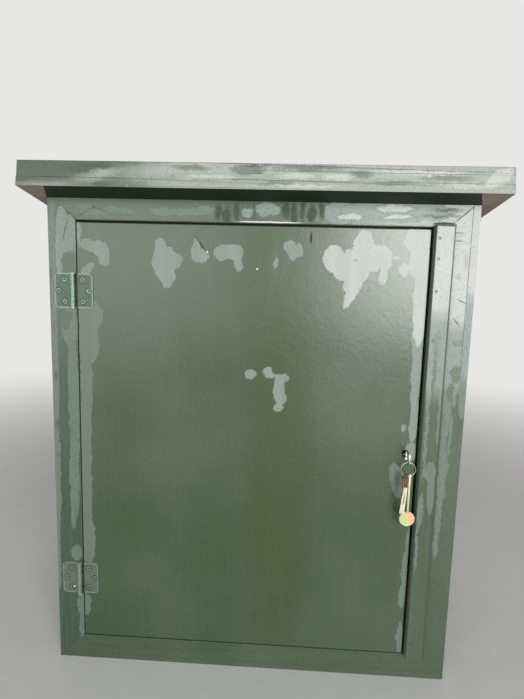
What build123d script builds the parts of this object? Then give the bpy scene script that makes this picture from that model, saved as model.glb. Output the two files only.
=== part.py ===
"""Wooden utility cabinet with a lean-to roof, a flush door on butt hinges and a rim lock.

Millimetres. The origin is the centre of the base, +Z is up and +Y points to the back.
"""

import os
from math import cos, radians, sin, tan

from build123d import *

# Body
BODY_WIDTH = 620.0
BODY_DEPTH = 300.0
FRONT_HEIGHT = 732.5
ROOF_FALL = 8.0
SIDE_THICKNESS = 10.0
BASE_THICKNESS = 9.5
BACK_THICKNESS = 8.0
BATTEN = 25.0

# Front frame
MEMBER_WIDTH = 31.0
ARRIS = 1.0

# Door and the gaps round it
DOOR_THICKNESS = 18.0
DOOR_SEAT_GAP = 0.5
GAP_HINGE_SIDE = 1.2
GAP_LOCK_SIDE = 3.4
GAP_TOP = 3.0
GAP_BOTTOM = 1.2

# Post, cover strip and keep batten at the lock side
POST_WIDTH = 22.2
STRIP_WIDTH = 26.0
STRIP_THICKNESS = 12.0
STRIP_SETBACK = 0.8
STRIP_LAP_TOP = 3.4
STRIP_LAP_BOTTOM = 1.5
STRIP_NAIL_INSET = 4.6
STRIP_NAILS_FROM_TOP = (19.3, 47.6, 93.0, 162.5)
STRIP_NAILS_FROM_BOTTOM = (29.5, 209.5)
STOP_HEIGHT = 30.0
STOP_THICKNESS = 20.0
STOP_LAP = 10.0

# Roof
BOARD_THICKNESS = 23.2
LINER_THICKNESS = 12.0
OVERHANG_FRONT = 48.5
OVERHANG_LEFT = 19.0
OVERHANG_RIGHT = 23.0
OVERHANG_BACK = 20.0
BOARD_ARRIS = 1.5
ROOF_SCREW_COUNT = 3

# Hinges
HINGE_HEIGHT = 51.5
HINGE_FROM_DOOR_END = 99.6
HINGE_NAMES = ("lower", "upper")
LEAF_WIDTH = 28.5
LEAF_THICKNESS = 2.0
LEAF_CORNER = 6.0
KNUCKLE_RADIUS = 4.0
KNUCKLE_STANDOFF = 0.2
KNUCKLE_END_GAP = 0.3
KNUCKLE_SIDE_GAP = 0.5
PIN_RADIUS = 2.0
PIN_CLEARANCE = 0.06
PIN_CAP_RADIUS = 3.6
PIN_CAP_HEIGHT = 0.8
AXIS_FROM_DOOR = 4.9
HINGE_SCREW_NEAR = 13.7
HINGE_SCREW_FAR = 22.7
HINGE_SCREW_RISE = 16.2

# Fasteners
SCREW_HEAD_RADIUS = 4.0
SCREW_SHANK_RADIUS = 2.05
HINGE_SCREW_BITE = 13.0
SIDE_SCREW_BITE = 20.0
ROOF_SCREW_BITE = 19.8
LOCK_SCREW_BITE = 9.8
SIDE_SCREW_INSET = 72.0
RECESS_WIDTH = 0.9
RECESS_DEPTH = 1.2
CONE_ANGLE = 90.0
NAIL_HEAD_RADIUS = 2.1
NAIL_SHANK_RADIUS = 1.1
NAIL_HEAD_THICKNESS = 0.9
NAIL_SUNK = 0.4
BACK_NAIL_BITE = 16.0
STRIP_NAIL_BITE = 13.5
BACK_NAIL_COUNT = 5
BASE_NAIL_COUNT = 3
FIT = 0.1

# Rim lock
KEY_FROM_DOOR_EDGE = 15.6
KEYHOLE_RADIUS = 5.75
CASE_WALL = 1.2
CASE_SPARE_HEIGHT = 5.8
CASE_SPARE_DEPTH = 2.3
CASE_CORNER = 1.2
CASE_EDGE_INSET = 1.0
FLANGE_HEIGHT = 10.0
LOCK_SCREW_INSET = 6.0
LOCK_SCREW_HEAD_RADIUS = 2.6
LOCK_SCREW_SHANK_RADIUS = 1.5
BOLT_HEIGHT = 14.0
BOLT_THICKNESS = 8.0
BOLT_WEB = 3.3
BOLT_TAIL_GAP = 2.8
BOLT_THROW = 10.0
BOLT_PROUD = 0.5
BOLT_FRONT = 2.5
BOLT_CLEARANCE = 0.3
KEEP_CLEARANCE = 0.8
BOLT_CHAMFER = 1.0
HUB_RADIUS = 4.6
HUB_TO_BOLT = 0.4
FINGER_REACH = 8.2
FINGER_WIDTH = 3.0
FINGER_THICKNESS = 5.0
FINGER_ANGLE = 45.0
NOTCH_BACKLASH = 2.6
NOTCH_SPARE = 0.7
SPIGOT_RADIUS = 3.0
STUD_RADIUS = 2.0
KEEP_THICKNESS = 1.5
KEEP_MARGIN = 15.0
KEEP_SCREW_MARGIN = 9.0
MORTISE_DEPTH = 12.5

# Key, ring and fob
SHANK_RADIUS = 2.0
BIT_REACH = 3.4
BIT_WIDTH = 1.6
BIT_LENGTH = 5.0
BOW_THICKNESS = 2.5
BOW_FRONT = 27.0
BOW_BACK = 5.0
BOW_HALF_HEIGHT = 10.0
BOW_RIM = 2.8
BOW_CORNER = 8.0
BOW_HOLE_CORNER = 3.0
BOW_ROUNDING = 0.7
RING_SIDE_PLAY = 0.95
RING_RADIUS = 10.4
WIRE_RADIUS = 0.75
RING_PLAY = 0.4
TAB_WIDTH = 8.6
TAB_LOOP_WIDTH = 5.0
TAB_LENGTH = 20.0
TAB_THICKNESS = 2.4
TAB_LEATHER = 1.0
TAB_OFFSET = -2.4
TAB_CORNER = 1.2
RIBBON_LENGTH = 38.0
RIBBON_WIDTH = 2.7
RIBBON_THICKNESS = 1.2
RIBBON_SPLAY = 3.0
RIBBON_LAP = 2.4
STRAP_OFFSET = 3.4
STRAP_WIDTH = 2.8
STRAP_THICKNESS = 1.2
STRAP_LENGTH = 58.5
STRAP_LOOP_WALL = 0.8
DISC_RADIUS = 11.2
DISC_THICKNESS = 2.4
DISC_LAP = 2.7
DISC_EDGE = 0.6

# Derived planes and positions
HALF_WIDTH = BODY_WIDTH / 2
INNER_HALF = HALF_WIDTH - SIDE_THICKNESS
FRONT = -BODY_DEPTH / 2
BACK = BODY_DEPTH / 2
BACK_INNER = BACK - BACK_THICKNESS
FRAME_THICKNESS = DOOR_THICKNESS + DOOR_SEAT_GAP
FRAME_REAR = FRONT + FRAME_THICKNESS
OPENING_HALF = INNER_HALF - MEMBER_WIDTH
OPENING_BOTTOM = BASE_THICKNESS + MEMBER_WIDTH
OPENING_TOP = FRONT_HEIGHT - MEMBER_WIDTH
POST_LEFT = OPENING_HALF - POST_WIDTH
STRIP_LEFT = POST_LEFT + STRIP_SETBACK
STRIP_FACE = FRONT - STRIP_THICKNESS
STRIP_BOTTOM = OPENING_BOTTOM - STRIP_LAP_BOTTOM
STRIP_TOP = OPENING_TOP + STRIP_LAP_TOP
DOOR_LEFT = -OPENING_HALF + GAP_HINGE_SIDE
DOOR_RIGHT = POST_LEFT - GAP_LOCK_SIDE
DOOR_BOTTOM = OPENING_BOTTOM + GAP_BOTTOM
DOOR_TOP = OPENING_TOP - GAP_TOP
DOOR_REAR = FRONT + DOOR_THICKNESS
HINGE_CENTRES = (DOOR_BOTTOM + HINGE_FROM_DOOR_END, DOOR_TOP - HINGE_FROM_DOOR_END)
HINGE_X = DOOR_LEFT - AXIS_FROM_DOOR
HINGE_Y = FRONT - KNUCKLE_STANDOFF - KNUCKLE_RADIUS
KEY_HEIGHT = (DOOR_BOTTOM + DOOR_TOP) / 2
KEY_X = DOOR_RIGHT - KEY_FROM_DOOR_EDGE

# Lock works, laid out leftwards from the key
NOTCH_WIDTH = FINGER_WIDTH + NOTCH_BACKLASH
NOTCH_X = KEY_X - BOLT_THROW / 2
SLOT_RADIUS = STUD_RADIUS + BOLT_CLEARANCE
STUD_X = NOTCH_X - NOTCH_WIDTH / 2 - BOLT_WEB - SLOT_RADIUS
CASE_RIGHT = DOOR_RIGHT - CASE_EDGE_INSET
BOLT_RIGHT = CASE_RIGHT + BOLT_PROUD
BOLT_LEFT = STUD_X - BOLT_THROW - SLOT_RADIUS - BOLT_WEB
CASE_LEFT = BOLT_LEFT - BOLT_TAIL_GAP - CASE_WALL
CASE_MIDDLE = (CASE_LEFT + CASE_RIGHT) / 2
CASE_WIDTH = CASE_RIGHT - CASE_LEFT
BOLT_BOTTOM = KEY_HEIGHT + HUB_RADIUS + HUB_TO_BOLT
BOLT_MIDDLE = BOLT_BOTTOM + BOLT_HEIGHT / 2
CASE_HEIGHT = 2 * (BOLT_BOTTOM - KEY_HEIGHT + BOLT_HEIGHT + CASE_SPARE_HEIGHT + CASE_WALL)
CASE_DEPTH = BOLT_FRONT + BOLT_THICKNESS + CASE_SPARE_DEPTH + CASE_WALL
CASE_REAR = DOOR_REAR + CASE_DEPTH
BOLT_Y = DOOR_REAR + BOLT_FRONT + BOLT_THICKNESS / 2
KEEP_FACE = POST_LEFT - KEEP_THICKNESS
RING_Y = FRONT - (BOW_FRONT - BOW_RIM - WIRE_RADIUS - RING_SIDE_PLAY)

FRONT_PLANE = Plane.XZ.offset(-FRONT)
DOOR_REAR_PLANE = Plane.XZ.offset(-DOOR_REAR)
BOLT_PLANE = DOOR_REAR_PLANE.offset(-BOLT_FRONT)
ROOF_PLANE = Plane(
    origin=(0, FRONT, FRONT_HEIGHT),
    x_dir=(1, 0, 0),
    z_dir=(0, sin(radians(ROOF_FALL)), cos(radians(ROOF_FALL))),
)
ROOF_BACK = BODY_DEPTH / cos(radians(ROOF_FALL)) + OVERHANG_BACK
ROOF_THICKNESS = LINER_THICKNESS + BOARD_THICKNESS
TALL = FRONT_HEIGHT + BATTEN

TO_FRONT = (0, -1, 0)
TO_BACK = (0, 1, 0)
TO_LEFT = (-1, 0, 0)
TO_RIGHT = (1, 0, 0)


def roof_underside(y):
    """Height of the roof's underside at depth y."""
    return FRONT_HEIGHT - (y - FRONT) * tan(radians(ROOF_FALL))


def facing(points, normal):
    """Planes at the points, each with its Z along the normal."""
    return [Plane(origin=point, z_dir=normal) for point in points]


def finish(part, label):
    """Name a finished piece and write its STEP file."""
    part.label = label
    export_step(part, f"parts/{label}.step")


def block(x_span, y_span, z_span):
    """A squared timber between the given pairs of coordinates."""
    with BuildPart() as timber:
        with BuildSketch(Plane.XY.offset(z_span[0])):
            with Locations(((x_span[0] + x_span[1]) / 2, (y_span[0] + y_span[1]) / 2)):
                Rectangle(x_span[1] - x_span[0], y_span[1] - y_span[0])
        extrude(amount=z_span[1] - z_span[0])
    return timber.part


def screw(head_radius, shank_radius, length, recessed=True):
    """A countersunk screw along Z, its head flush with Z = 0 and its shank pointing down."""
    cone_height = head_radius - shank_radius
    with BuildPart() as body:
        with BuildSketch(Plane.XZ):
            with BuildLine():
                Polyline(
                    (0, 0),
                    (head_radius, 0),
                    (shank_radius, -cone_height),
                    (shank_radius, shank_radius - length),
                    (0, -length),
                    close=True,
                )
            make_face()
        revolve(axis=Axis.Z)
        if recessed:
            with BuildSketch(Plane.XY):
                Rectangle(head_radius, RECESS_WIDTH)
                Rectangle(RECESS_WIDTH, head_radius)
            extrude(amount=-RECESS_DEPTH, mode=Mode.SUBTRACT)
    return body.part


def nail(length):
    """A flat-headed nail along Z, with the top of its head at Z = 0."""
    down = (Align.CENTER, Align.CENTER, Align.MAX)
    with BuildPart() as body:
        Cylinder(NAIL_HEAD_RADIUS, NAIL_HEAD_THICKNESS, align=down)
        Cylinder(NAIL_SHANK_RADIUS, length, align=down)
    return body.part


def screw_bores(planes, head_radius, shank_radius, length):
    """Cut room for countersunk screws whose heads lie flush in the planes."""
    with Locations(*planes):
        CounterSinkHole(shank_radius + FIT, head_radius + FIT, length + FIT, CONE_ANGLE)


def nail_bores(planes, length):
    """Cut room for nails driven a little below the planes."""
    with Locations(*planes):
        CounterBoreHole(
            NAIL_SHANK_RADIUS + FIT,
            NAIL_HEAD_RADIUS + FIT,
            NAIL_SUNK + NAIL_HEAD_THICKNESS,
            NAIL_SUNK + length + FIT,
        )


def driven(planes):
    """The planes, moved in by the depth that nail heads are sunk."""
    return [plane.offset(-NAIL_SUNK) for plane in planes]


def bolt_window(x, clearance):
    """Cut the bolt's passage with a clearance round it, centred on x."""
    with Locations((x, BOLT_Y, BOLT_MIDDLE)):
        Box(
            2 * MORTISE_DEPTH,
            BOLT_THICKNESS + 2 * clearance,
            BOLT_HEIGHT + 2 * clearance,
            mode=Mode.SUBTRACT,
        )


os.makedirs("parts", exist_ok=True)

# Places of the fasteners: planes in which their heads lie, and their lengths
side_screw_length = SIDE_THICKNESS + SIDE_SCREW_BITE
side_screw_planes = {}
for side in (-1, 1):
    side_screw_planes[side] = facing(
        [
            (side * HALF_WIDTH, y, z)
            for y in (FRONT + FRAME_THICKNESS / 2, BACK_INNER - BATTEN / 2)
            for z in (SIDE_SCREW_INSET, FRONT_HEIGHT / 2, FRONT_HEIGHT - SIDE_SCREW_INSET)
        ],
        (side, 0, 0),
    )

back_nail_length = BACK_THICKNESS + BACK_NAIL_BITE
back_nail_x = HALF_WIDTH - SIDE_THICKNESS / 2
back_nail_pitch = (roof_underside(BACK) - BASE_THICKNESS) / BACK_NAIL_COUNT
base_nail_pitch = 2 * INNER_HALF / BASE_NAIL_COUNT
back_nail_points = [
    (x, BACK, BASE_THICKNESS + back_nail_pitch * (row + 0.5))
    for x in (-back_nail_x, back_nail_x)
    for row in range(BACK_NAIL_COUNT)
]
for column in range(BASE_NAIL_COUNT):
    back_nail_points.append(
        (base_nail_pitch * (column + 0.5) - INNER_HALF, BACK, BASE_THICKNESS / 2)
    )
back_nail_planes = facing(back_nail_points, TO_BACK)

strip_nail_length = STRIP_THICKNESS + FRAME_THICKNESS + STRIP_NAIL_BITE
strip_nail_heights = [STRIP_TOP - drop for drop in STRIP_NAILS_FROM_TOP]
strip_nail_heights += [STRIP_BOTTOM + rise for rise in STRIP_NAILS_FROM_BOTTOM]
strip_nail_planes = facing(
    [(STRIP_LEFT + STRIP_NAIL_INSET, STRIP_FACE, z) for z in strip_nail_heights],
    TO_FRONT,
)

roof_screw_length = ROOF_THICKNESS + ROOF_SCREW_BITE
roof_screw_x = INNER_HALF - BATTEN / 2
roof_screw_start = FRAME_THICKNESS + BATTEN
roof_screw_pitch = (BACK_INNER - BATTEN - FRONT - roof_screw_start) / ROOF_SCREW_COUNT
roof_screw_rows = [
    (roof_screw_start + roof_screw_pitch * (row + 0.5)) / cos(radians(ROOF_FALL))
    for row in range(ROOF_SCREW_COUNT)
]
roof_screw_planes = [
    Plane(
        origin=ROOF_PLANE.from_local_coords((x, row, ROOF_THICKNESS)),
        x_dir=(1, 0, 0),
        z_dir=ROOF_PLANE.z_dir,
    )
    for x in (-roof_screw_x, roof_screw_x)
    for row in roof_screw_rows
]

hinge_screw_length = LEAF_THICKNESS + HINGE_SCREW_BITE
hinge_screw_steps = (
    (HINGE_SCREW_NEAR, HINGE_SCREW_RISE),
    (HINGE_SCREW_FAR, 0),
    (HINGE_SCREW_NEAR, -HINGE_SCREW_RISE),
)
hinge_screw_planes = {}
for side in (-1, 1):
    hinge_screw_planes[side] = facing(
        [
            (HINGE_X + side * reach, FRONT - LEAF_THICKNESS, centre + rise)
            for centre in HINGE_CENTRES
            for reach, rise in hinge_screw_steps
        ],
        TO_FRONT,
    )

lock_screw_length = CASE_WALL + LOCK_SCREW_BITE
lock_screw_planes = facing(
    [
        (x, DOOR_REAR + CASE_WALL, KEY_HEIGHT + end * (CASE_HEIGHT + FLANGE_HEIGHT) / 2)
        for x in (CASE_LEFT + LOCK_SCREW_INSET, CASE_RIGHT - LOCK_SCREW_INSET)
        for end in (-1, 1)
    ],
    TO_BACK,
)
keep_screw_rise = BOLT_HEIGHT / 2 + KEEP_SCREW_MARGIN
keep_screw_planes = facing(
    [
        (KEEP_FACE, FRAME_REAR + BATTEN / 2, BOLT_MIDDLE + end * keep_screw_rise)
        for end in (-1, 1)
    ],
    TO_LEFT,
)

# Base and back
with BuildPart() as bottom_panel:
    add(block((-HALF_WIDTH, HALF_WIDTH), (FRONT, BACK_INNER), (0, BASE_THICKNESS)))
    nail_bores(back_nail_planes, back_nail_length)
finish(bottom_panel.part, "bottom_panel")

with BuildPart() as back_panel:
    add(block((-HALF_WIDTH, HALF_WIDTH), (BACK_INNER, BACK), (0, TALL)))
    split(bisect_by=ROOF_PLANE, keep=Keep.BOTTOM)
    nail_bores(back_nail_planes, back_nail_length)
finish(back_panel.part, "back_panel")

back_nail = nail(back_nail_length)
with BuildPart() as back_panel_nails:
    with Locations(*driven(back_nail_planes)):
        add(back_nail)
finish(back_panel_nails.part, "back_panel_nails")

# Side panels, with the roof's fall along their top edges
for side, name in ((-1, "left"), (1, "right")):
    with BuildPart() as side_panel:
        span = sorted((side * INNER_HALF, side * HALF_WIDTH))
        add(block(span, (FRONT, BACK_INNER), (BASE_THICKNESS, TALL)))
        split(bisect_by=ROOF_PLANE, keep=Keep.BOTTOM)
        screw_bores(
            side_screw_planes[side], SCREW_HEAD_RADIUS, SCREW_SHANK_RADIUS, side_screw_length
        )
        nail_bores(back_nail_planes, back_nail_length)
    finish(side_panel.part, f"side_panel_{name}")

side_screw = screw(SCREW_HEAD_RADIUS, SCREW_SHANK_RADIUS, side_screw_length)
with BuildPart() as side_screws:
    with Locations(*side_screw_planes[-1], *side_screw_planes[1]):
        add(side_screw)
finish(side_screws.part, "side_screws")

# Front frame: four mitred members, taken round the opening from the lower left corner
frame_outer = [
    (-INNER_HALF, BASE_THICKNESS),
    (INNER_HALF, BASE_THICKNESS),
    (INNER_HALF, FRONT_HEIGHT),
    (-INNER_HALF, FRONT_HEIGHT),
]
frame_inner = [
    (-OPENING_HALF, OPENING_BOTTOM),
    (OPENING_HALF, OPENING_BOTTOM),
    (OPENING_HALF, OPENING_TOP),
    (-OPENING_HALF, OPENING_TOP),
]
member_names = ("frame_rail_bottom", "frame_stile_right", "frame_rail_top", "frame_stile_left")
for corner, name in enumerate(member_names):
    following = (corner + 1) % 4
    with BuildPart() as member:
        with BuildSketch(FRONT_PLANE):
            with BuildLine():
                Polyline(
                    frame_outer[corner],
                    frame_outer[following],
                    frame_inner[following],
                    frame_inner[corner],
                    close=True,
                )
            make_face()
        extrude(amount=-FRAME_THICKNESS)
        split(bisect_by=ROOF_PLANE, keep=Keep.BOTTOM)
        if name == "frame_stile_left":
            screw_bores(
                hinge_screw_planes[-1], SCREW_HEAD_RADIUS, SCREW_SHANK_RADIUS, hinge_screw_length
            )
        if "stile" in name:
            side = -1 if "left" in name else 1
            screw_bores(
                side_screw_planes[side], SCREW_HEAD_RADIUS, SCREW_SHANK_RADIUS, side_screw_length
            )
    finish(member.part, name)

# Battens in the rear corners and under the roof
for side, name in ((-1, "left"), (1, "right")):
    span = sorted((side * INNER_HALF, side * (INNER_HALF - BATTEN)))
    with BuildPart() as corner_batten:
        add(block(span, (BACK_INNER - BATTEN, BACK_INNER), (BASE_THICKNESS, TALL)))
        split(bisect_by=ROOF_PLANE, keep=Keep.BOTTOM)
        screw_bores(
            side_screw_planes[side], SCREW_HEAD_RADIUS, SCREW_SHANK_RADIUS, side_screw_length
        )
    finish(corner_batten.part, f"corner_batten_{name}")

    front_end = FRAME_REAR if side < 0 else FRAME_REAR + BATTEN
    rear_end = BACK_INNER - BATTEN
    with BuildPart() as roof_batten:
        with BuildSketch(Plane.YZ.offset(span[0])):
            with BuildLine():
                Polyline(
                    (front_end, roof_underside(front_end) - BATTEN),
                    (rear_end, roof_underside(rear_end) - BATTEN),
                    (rear_end, roof_underside(rear_end)),
                    (front_end, roof_underside(front_end)),
                    close=True,
                )
            make_face()
        extrude(amount=BATTEN)
        screw_bores(roof_screw_planes, SCREW_HEAD_RADIUS, SCREW_SHANK_RADIUS, roof_screw_length)
    finish(roof_batten.part, f"roof_batten_{name}")

# Stop battens that the door closes on
stop_x = (-INNER_HALF + BATTEN, POST_LEFT)
stop_y = (FRAME_REAR, FRAME_REAR + STOP_THICKNESS)
stop_levels = {
    "top": OPENING_TOP - STOP_LAP,
    "bottom": OPENING_BOTTOM + STOP_LAP - STOP_HEIGHT,
}
for name, low in stop_levels.items():
    with BuildPart() as stop_batten:
        add(block(stop_x, stop_y, (low, low + STOP_HEIGHT)))
    finish(stop_batten.part, f"stop_batten_{name}")

# Lock side: post in the opening, keep batten behind it, cover strip over it
with BuildPart() as lock_post:
    add(block((POST_LEFT, OPENING_HALF), (FRONT, FRAME_REAR), (OPENING_BOTTOM, OPENING_TOP)))
    nail_bores(strip_nail_planes, strip_nail_length)
finish(lock_post.part, "lock_post")

with BuildPart() as keep_batten:
    add(block((POST_LEFT, INNER_HALF), (FRAME_REAR, FRAME_REAR + BATTEN), (BASE_THICKNESS, TALL)))
    split(bisect_by=ROOF_PLANE, keep=Keep.BOTTOM)
    nail_bores(strip_nail_planes, strip_nail_length)
    bolt_window(POST_LEFT, KEEP_CLEARANCE)
    screw_bores(
        keep_screw_planes, LOCK_SCREW_HEAD_RADIUS, LOCK_SCREW_SHANK_RADIUS, lock_screw_length
    )
finish(keep_batten.part, "keep_batten")

with BuildPart() as cover_strip:
    add(block((STRIP_LEFT, STRIP_LEFT + STRIP_WIDTH), (STRIP_FACE, FRONT), (STRIP_BOTTOM, STRIP_TOP)))
    fillet(cover_strip.faces().sort_by(Axis.Y)[0].edges(), ARRIS)
    nail_bores(strip_nail_planes, strip_nail_length)
finish(cover_strip.part, "cover_strip")

strip_nail = nail(strip_nail_length)
with BuildPart() as strip_nails:
    with Locations(*driven(strip_nail_planes)):
        add(strip_nail)
finish(strip_nails.part, "strip_nails")

# Roof: a board on a liner, with a lath under its front edge
roof_left = -HALF_WIDTH - OVERHANG_LEFT
roof_right = HALF_WIDTH + OVERHANG_RIGHT
layers = (
    ("roof_front_lath", 0, LINER_THICKNESS, -OVERHANG_FRONT, 0),
    ("roof_liner", 0, LINER_THICKNESS, 0, ROOF_BACK),
    ("roof_board", LINER_THICKNESS, BOARD_THICKNESS, -OVERHANG_FRONT, ROOF_BACK),
)
for name, level, thickness, front_edge, back_edge in layers:
    with BuildPart() as layer:
        with BuildSketch(ROOF_PLANE.offset(level)):
            with Locations(((roof_left + roof_right) / 2, (front_edge + back_edge) / 2)):
                Rectangle(roof_right - roof_left, back_edge - front_edge)
        extrude(amount=thickness)
        if name == "roof_board":
            fillet(layer.faces().sort_by(Axis.Z)[-1].edges(), BOARD_ARRIS)
        if name != "roof_front_lath":
            screw_bores(
                roof_screw_planes, SCREW_HEAD_RADIUS, SCREW_SHANK_RADIUS, roof_screw_length
            )
    finish(layer.part, name)

roof_screw = screw(SCREW_HEAD_RADIUS, SCREW_SHANK_RADIUS, roof_screw_length)
with BuildPart() as roof_screws:
    with Locations(*roof_screw_planes):
        add(roof_screw)
finish(roof_screws.part, "roof_screws")

# Door
with BuildPart() as door_panel:
    add(block((DOOR_LEFT, DOOR_RIGHT), (FRONT, DOOR_REAR), (DOOR_BOTTOM, DOOR_TOP)))
    fillet(door_panel.faces().sort_by(Axis.Y)[0].edges(), ARRIS)
    with Locations(*facing([(KEY_X, FRONT, KEY_HEIGHT)], TO_FRONT)):
        Hole(KEYHOLE_RADIUS)
    screw_bores(hinge_screw_planes[1], SCREW_HEAD_RADIUS, SCREW_SHANK_RADIUS, hinge_screw_length)
    screw_bores(
        lock_screw_planes, LOCK_SCREW_HEAD_RADIUS, LOCK_SCREW_SHANK_RADIUS, lock_screw_length
    )
finish(door_panel.part, "door_panel")

# Hinges: the frame leaf has the two outer knuckles and the door leaf the middle one
for level, centre in zip(HINGE_NAMES, HINGE_CENTRES):
    low = centre - HINGE_HEIGHT / 2
    high = centre + HINGE_HEIGHT / 2
    third = HINGE_HEIGHT / 3
    half_gap = KNUCKLE_END_GAP / 2
    outer_spans = ((low, low + third - half_gap), (high - third + half_gap, high))
    middle_spans = ((low + third + half_gap, high - third - half_gap),)
    leaves = (("frame", -1, outer_spans, middle_spans), ("door", 1, middle_spans, outer_spans))
    for owner, side, own_spans, other_spans in leaves:
        with BuildPart() as leaf:
            with BuildSketch(FRONT_PLANE) as outline:
                with Locations((HINGE_X + side * LEAF_WIDTH / 2, centre)):
                    Rectangle(LEAF_WIDTH, HINGE_HEIGHT)
                free_edge = outline.vertices().group_by(Axis.X)[-1 if side > 0 else 0]
                fillet(free_edge, LEAF_CORNER)
            extrude(amount=LEAF_THICKNESS)
            for start, end in other_spans:
                with Locations((HINGE_X, FRONT - LEAF_THICKNESS / 2, (start + end) / 2)):
                    Box(
                        2 * (KNUCKLE_RADIUS + KNUCKLE_SIDE_GAP),
                        2 * LEAF_THICKNESS,
                        end - start + 2 * KNUCKLE_END_GAP,
                        mode=Mode.SUBTRACT,
                    )
            for start, end in own_spans:
                with BuildSketch(Plane.XY.offset(start)):
                    with Locations((HINGE_X, HINGE_Y)):
                        Circle(KNUCKLE_RADIUS)
                extrude(amount=end - start)
            with BuildSketch(Plane.XY.offset(low)):
                with Locations((HINGE_X, HINGE_Y)):
                    Circle(PIN_RADIUS + PIN_CLEARANCE)
            extrude(amount=HINGE_HEIGHT, mode=Mode.SUBTRACT)
            screw_bores(
                hinge_screw_planes[side], SCREW_HEAD_RADIUS, SCREW_SHANK_RADIUS, hinge_screw_length
            )
        finish(leaf.part, f"{level}_hinge_{owner}_leaf")

    with BuildPart() as hinge_pin:
        with BuildSketch(Plane.XY.offset(low)):
            with Locations((HINGE_X, HINGE_Y)):
                Circle(PIN_RADIUS)
        extrude(amount=HINGE_HEIGHT)
        for end, direction in ((low, -1), (high, 1)):
            with BuildSketch(Plane.XY.offset(end)):
                with Locations((HINGE_X, HINGE_Y)):
                    Circle(PIN_CAP_RADIUS)
            extrude(amount=direction * PIN_CAP_HEIGHT)
    finish(hinge_pin.part, f"{level}_hinge_pin")

hinge_screw = screw(SCREW_HEAD_RADIUS, SCREW_SHANK_RADIUS, hinge_screw_length)
for side, name in ((-1, "frame_hinge_screws"), (1, "door_hinge_screws")):
    with BuildPart() as hinge_screws:
        with Locations(*hinge_screw_planes[side]):
            add(hinge_screw)
    finish(hinge_screws.part, name)

# Rim lock: a folded steel case with two flanges, open towards the door
with BuildPart() as lock_case:
    with BuildSketch(DOOR_REAR_PLANE):
        with Locations((CASE_MIDDLE, KEY_HEIGHT)):
            Rectangle(CASE_WIDTH, CASE_HEIGHT)
    extrude(amount=-CASE_DEPTH)
    fillet(lock_case.faces().sort_by(Axis.Y)[-1].edges(), CASE_CORNER)
    with BuildSketch(DOOR_REAR_PLANE):
        with Locations((CASE_MIDDLE, KEY_HEIGHT)):
            Rectangle(CASE_WIDTH, CASE_HEIGHT + 2 * FLANGE_HEIGHT)
    extrude(amount=-CASE_WALL)
    with BuildSketch(DOOR_REAR_PLANE):
        with Locations((CASE_MIDDLE, KEY_HEIGHT)):
            Rectangle(CASE_WIDTH - 2 * CASE_WALL, CASE_HEIGHT - 2 * CASE_WALL)
    extrude(amount=-(CASE_DEPTH - CASE_WALL), mode=Mode.SUBTRACT)
    bolt_window(CASE_RIGHT + MORTISE_DEPTH - 2 * CASE_WALL, BOLT_CLEARANCE)
    with BuildSketch(DOOR_REAR_PLANE):
        with Locations((KEY_X, KEY_HEIGHT)):
            Circle(SPIGOT_RADIUS + FIT)
    extrude(amount=-CASE_DEPTH, mode=Mode.SUBTRACT)
    with BuildSketch(BOLT_PLANE):
        with Locations((STUD_X, BOLT_MIDDLE)):
            Circle(STUD_RADIUS)
    extrude(amount=-(CASE_DEPTH - BOLT_FRONT - CASE_WALL / 2))
    screw_bores(
        lock_screw_planes, LOCK_SCREW_HEAD_RADIUS, LOCK_SCREW_SHANK_RADIUS, lock_screw_length
    )
finish(lock_case.part, "lock_case")

lock_screw = screw(LOCK_SCREW_HEAD_RADIUS, LOCK_SCREW_SHANK_RADIUS, lock_screw_length)
with BuildPart() as lock_screws:
    with Locations(*lock_screw_planes):
        add(lock_screw)
finish(lock_screws.part, "lock_screws")

# Bolt, slotted over the case's stud and notched for the follower's finger
notch_depth = FINGER_REACH - HUB_RADIUS - HUB_TO_BOLT + NOTCH_SPARE
with BuildPart() as lock_bolt:
    with BuildSketch(BOLT_PLANE):
        with Locations(((BOLT_LEFT + BOLT_RIGHT) / 2, BOLT_MIDDLE)):
            Rectangle(BOLT_RIGHT - BOLT_LEFT, BOLT_HEIGHT)
        with Locations((NOTCH_X, BOLT_BOTTOM + notch_depth / 2)):
            Rectangle(NOTCH_WIDTH, notch_depth, mode=Mode.SUBTRACT)
        with Locations((STUD_X - BOLT_THROW / 2, BOLT_MIDDLE)):
            SlotCenterToCenter(BOLT_THROW, 2 * SLOT_RADIUS, mode=Mode.SUBTRACT)
    extrude(amount=-BOLT_THICKNESS)
    chamfer(lock_bolt.faces().sort_by(Axis.X)[-1].edges(), BOLT_CHAMFER)
finish(lock_bolt.part, "lock_bolt")

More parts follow.
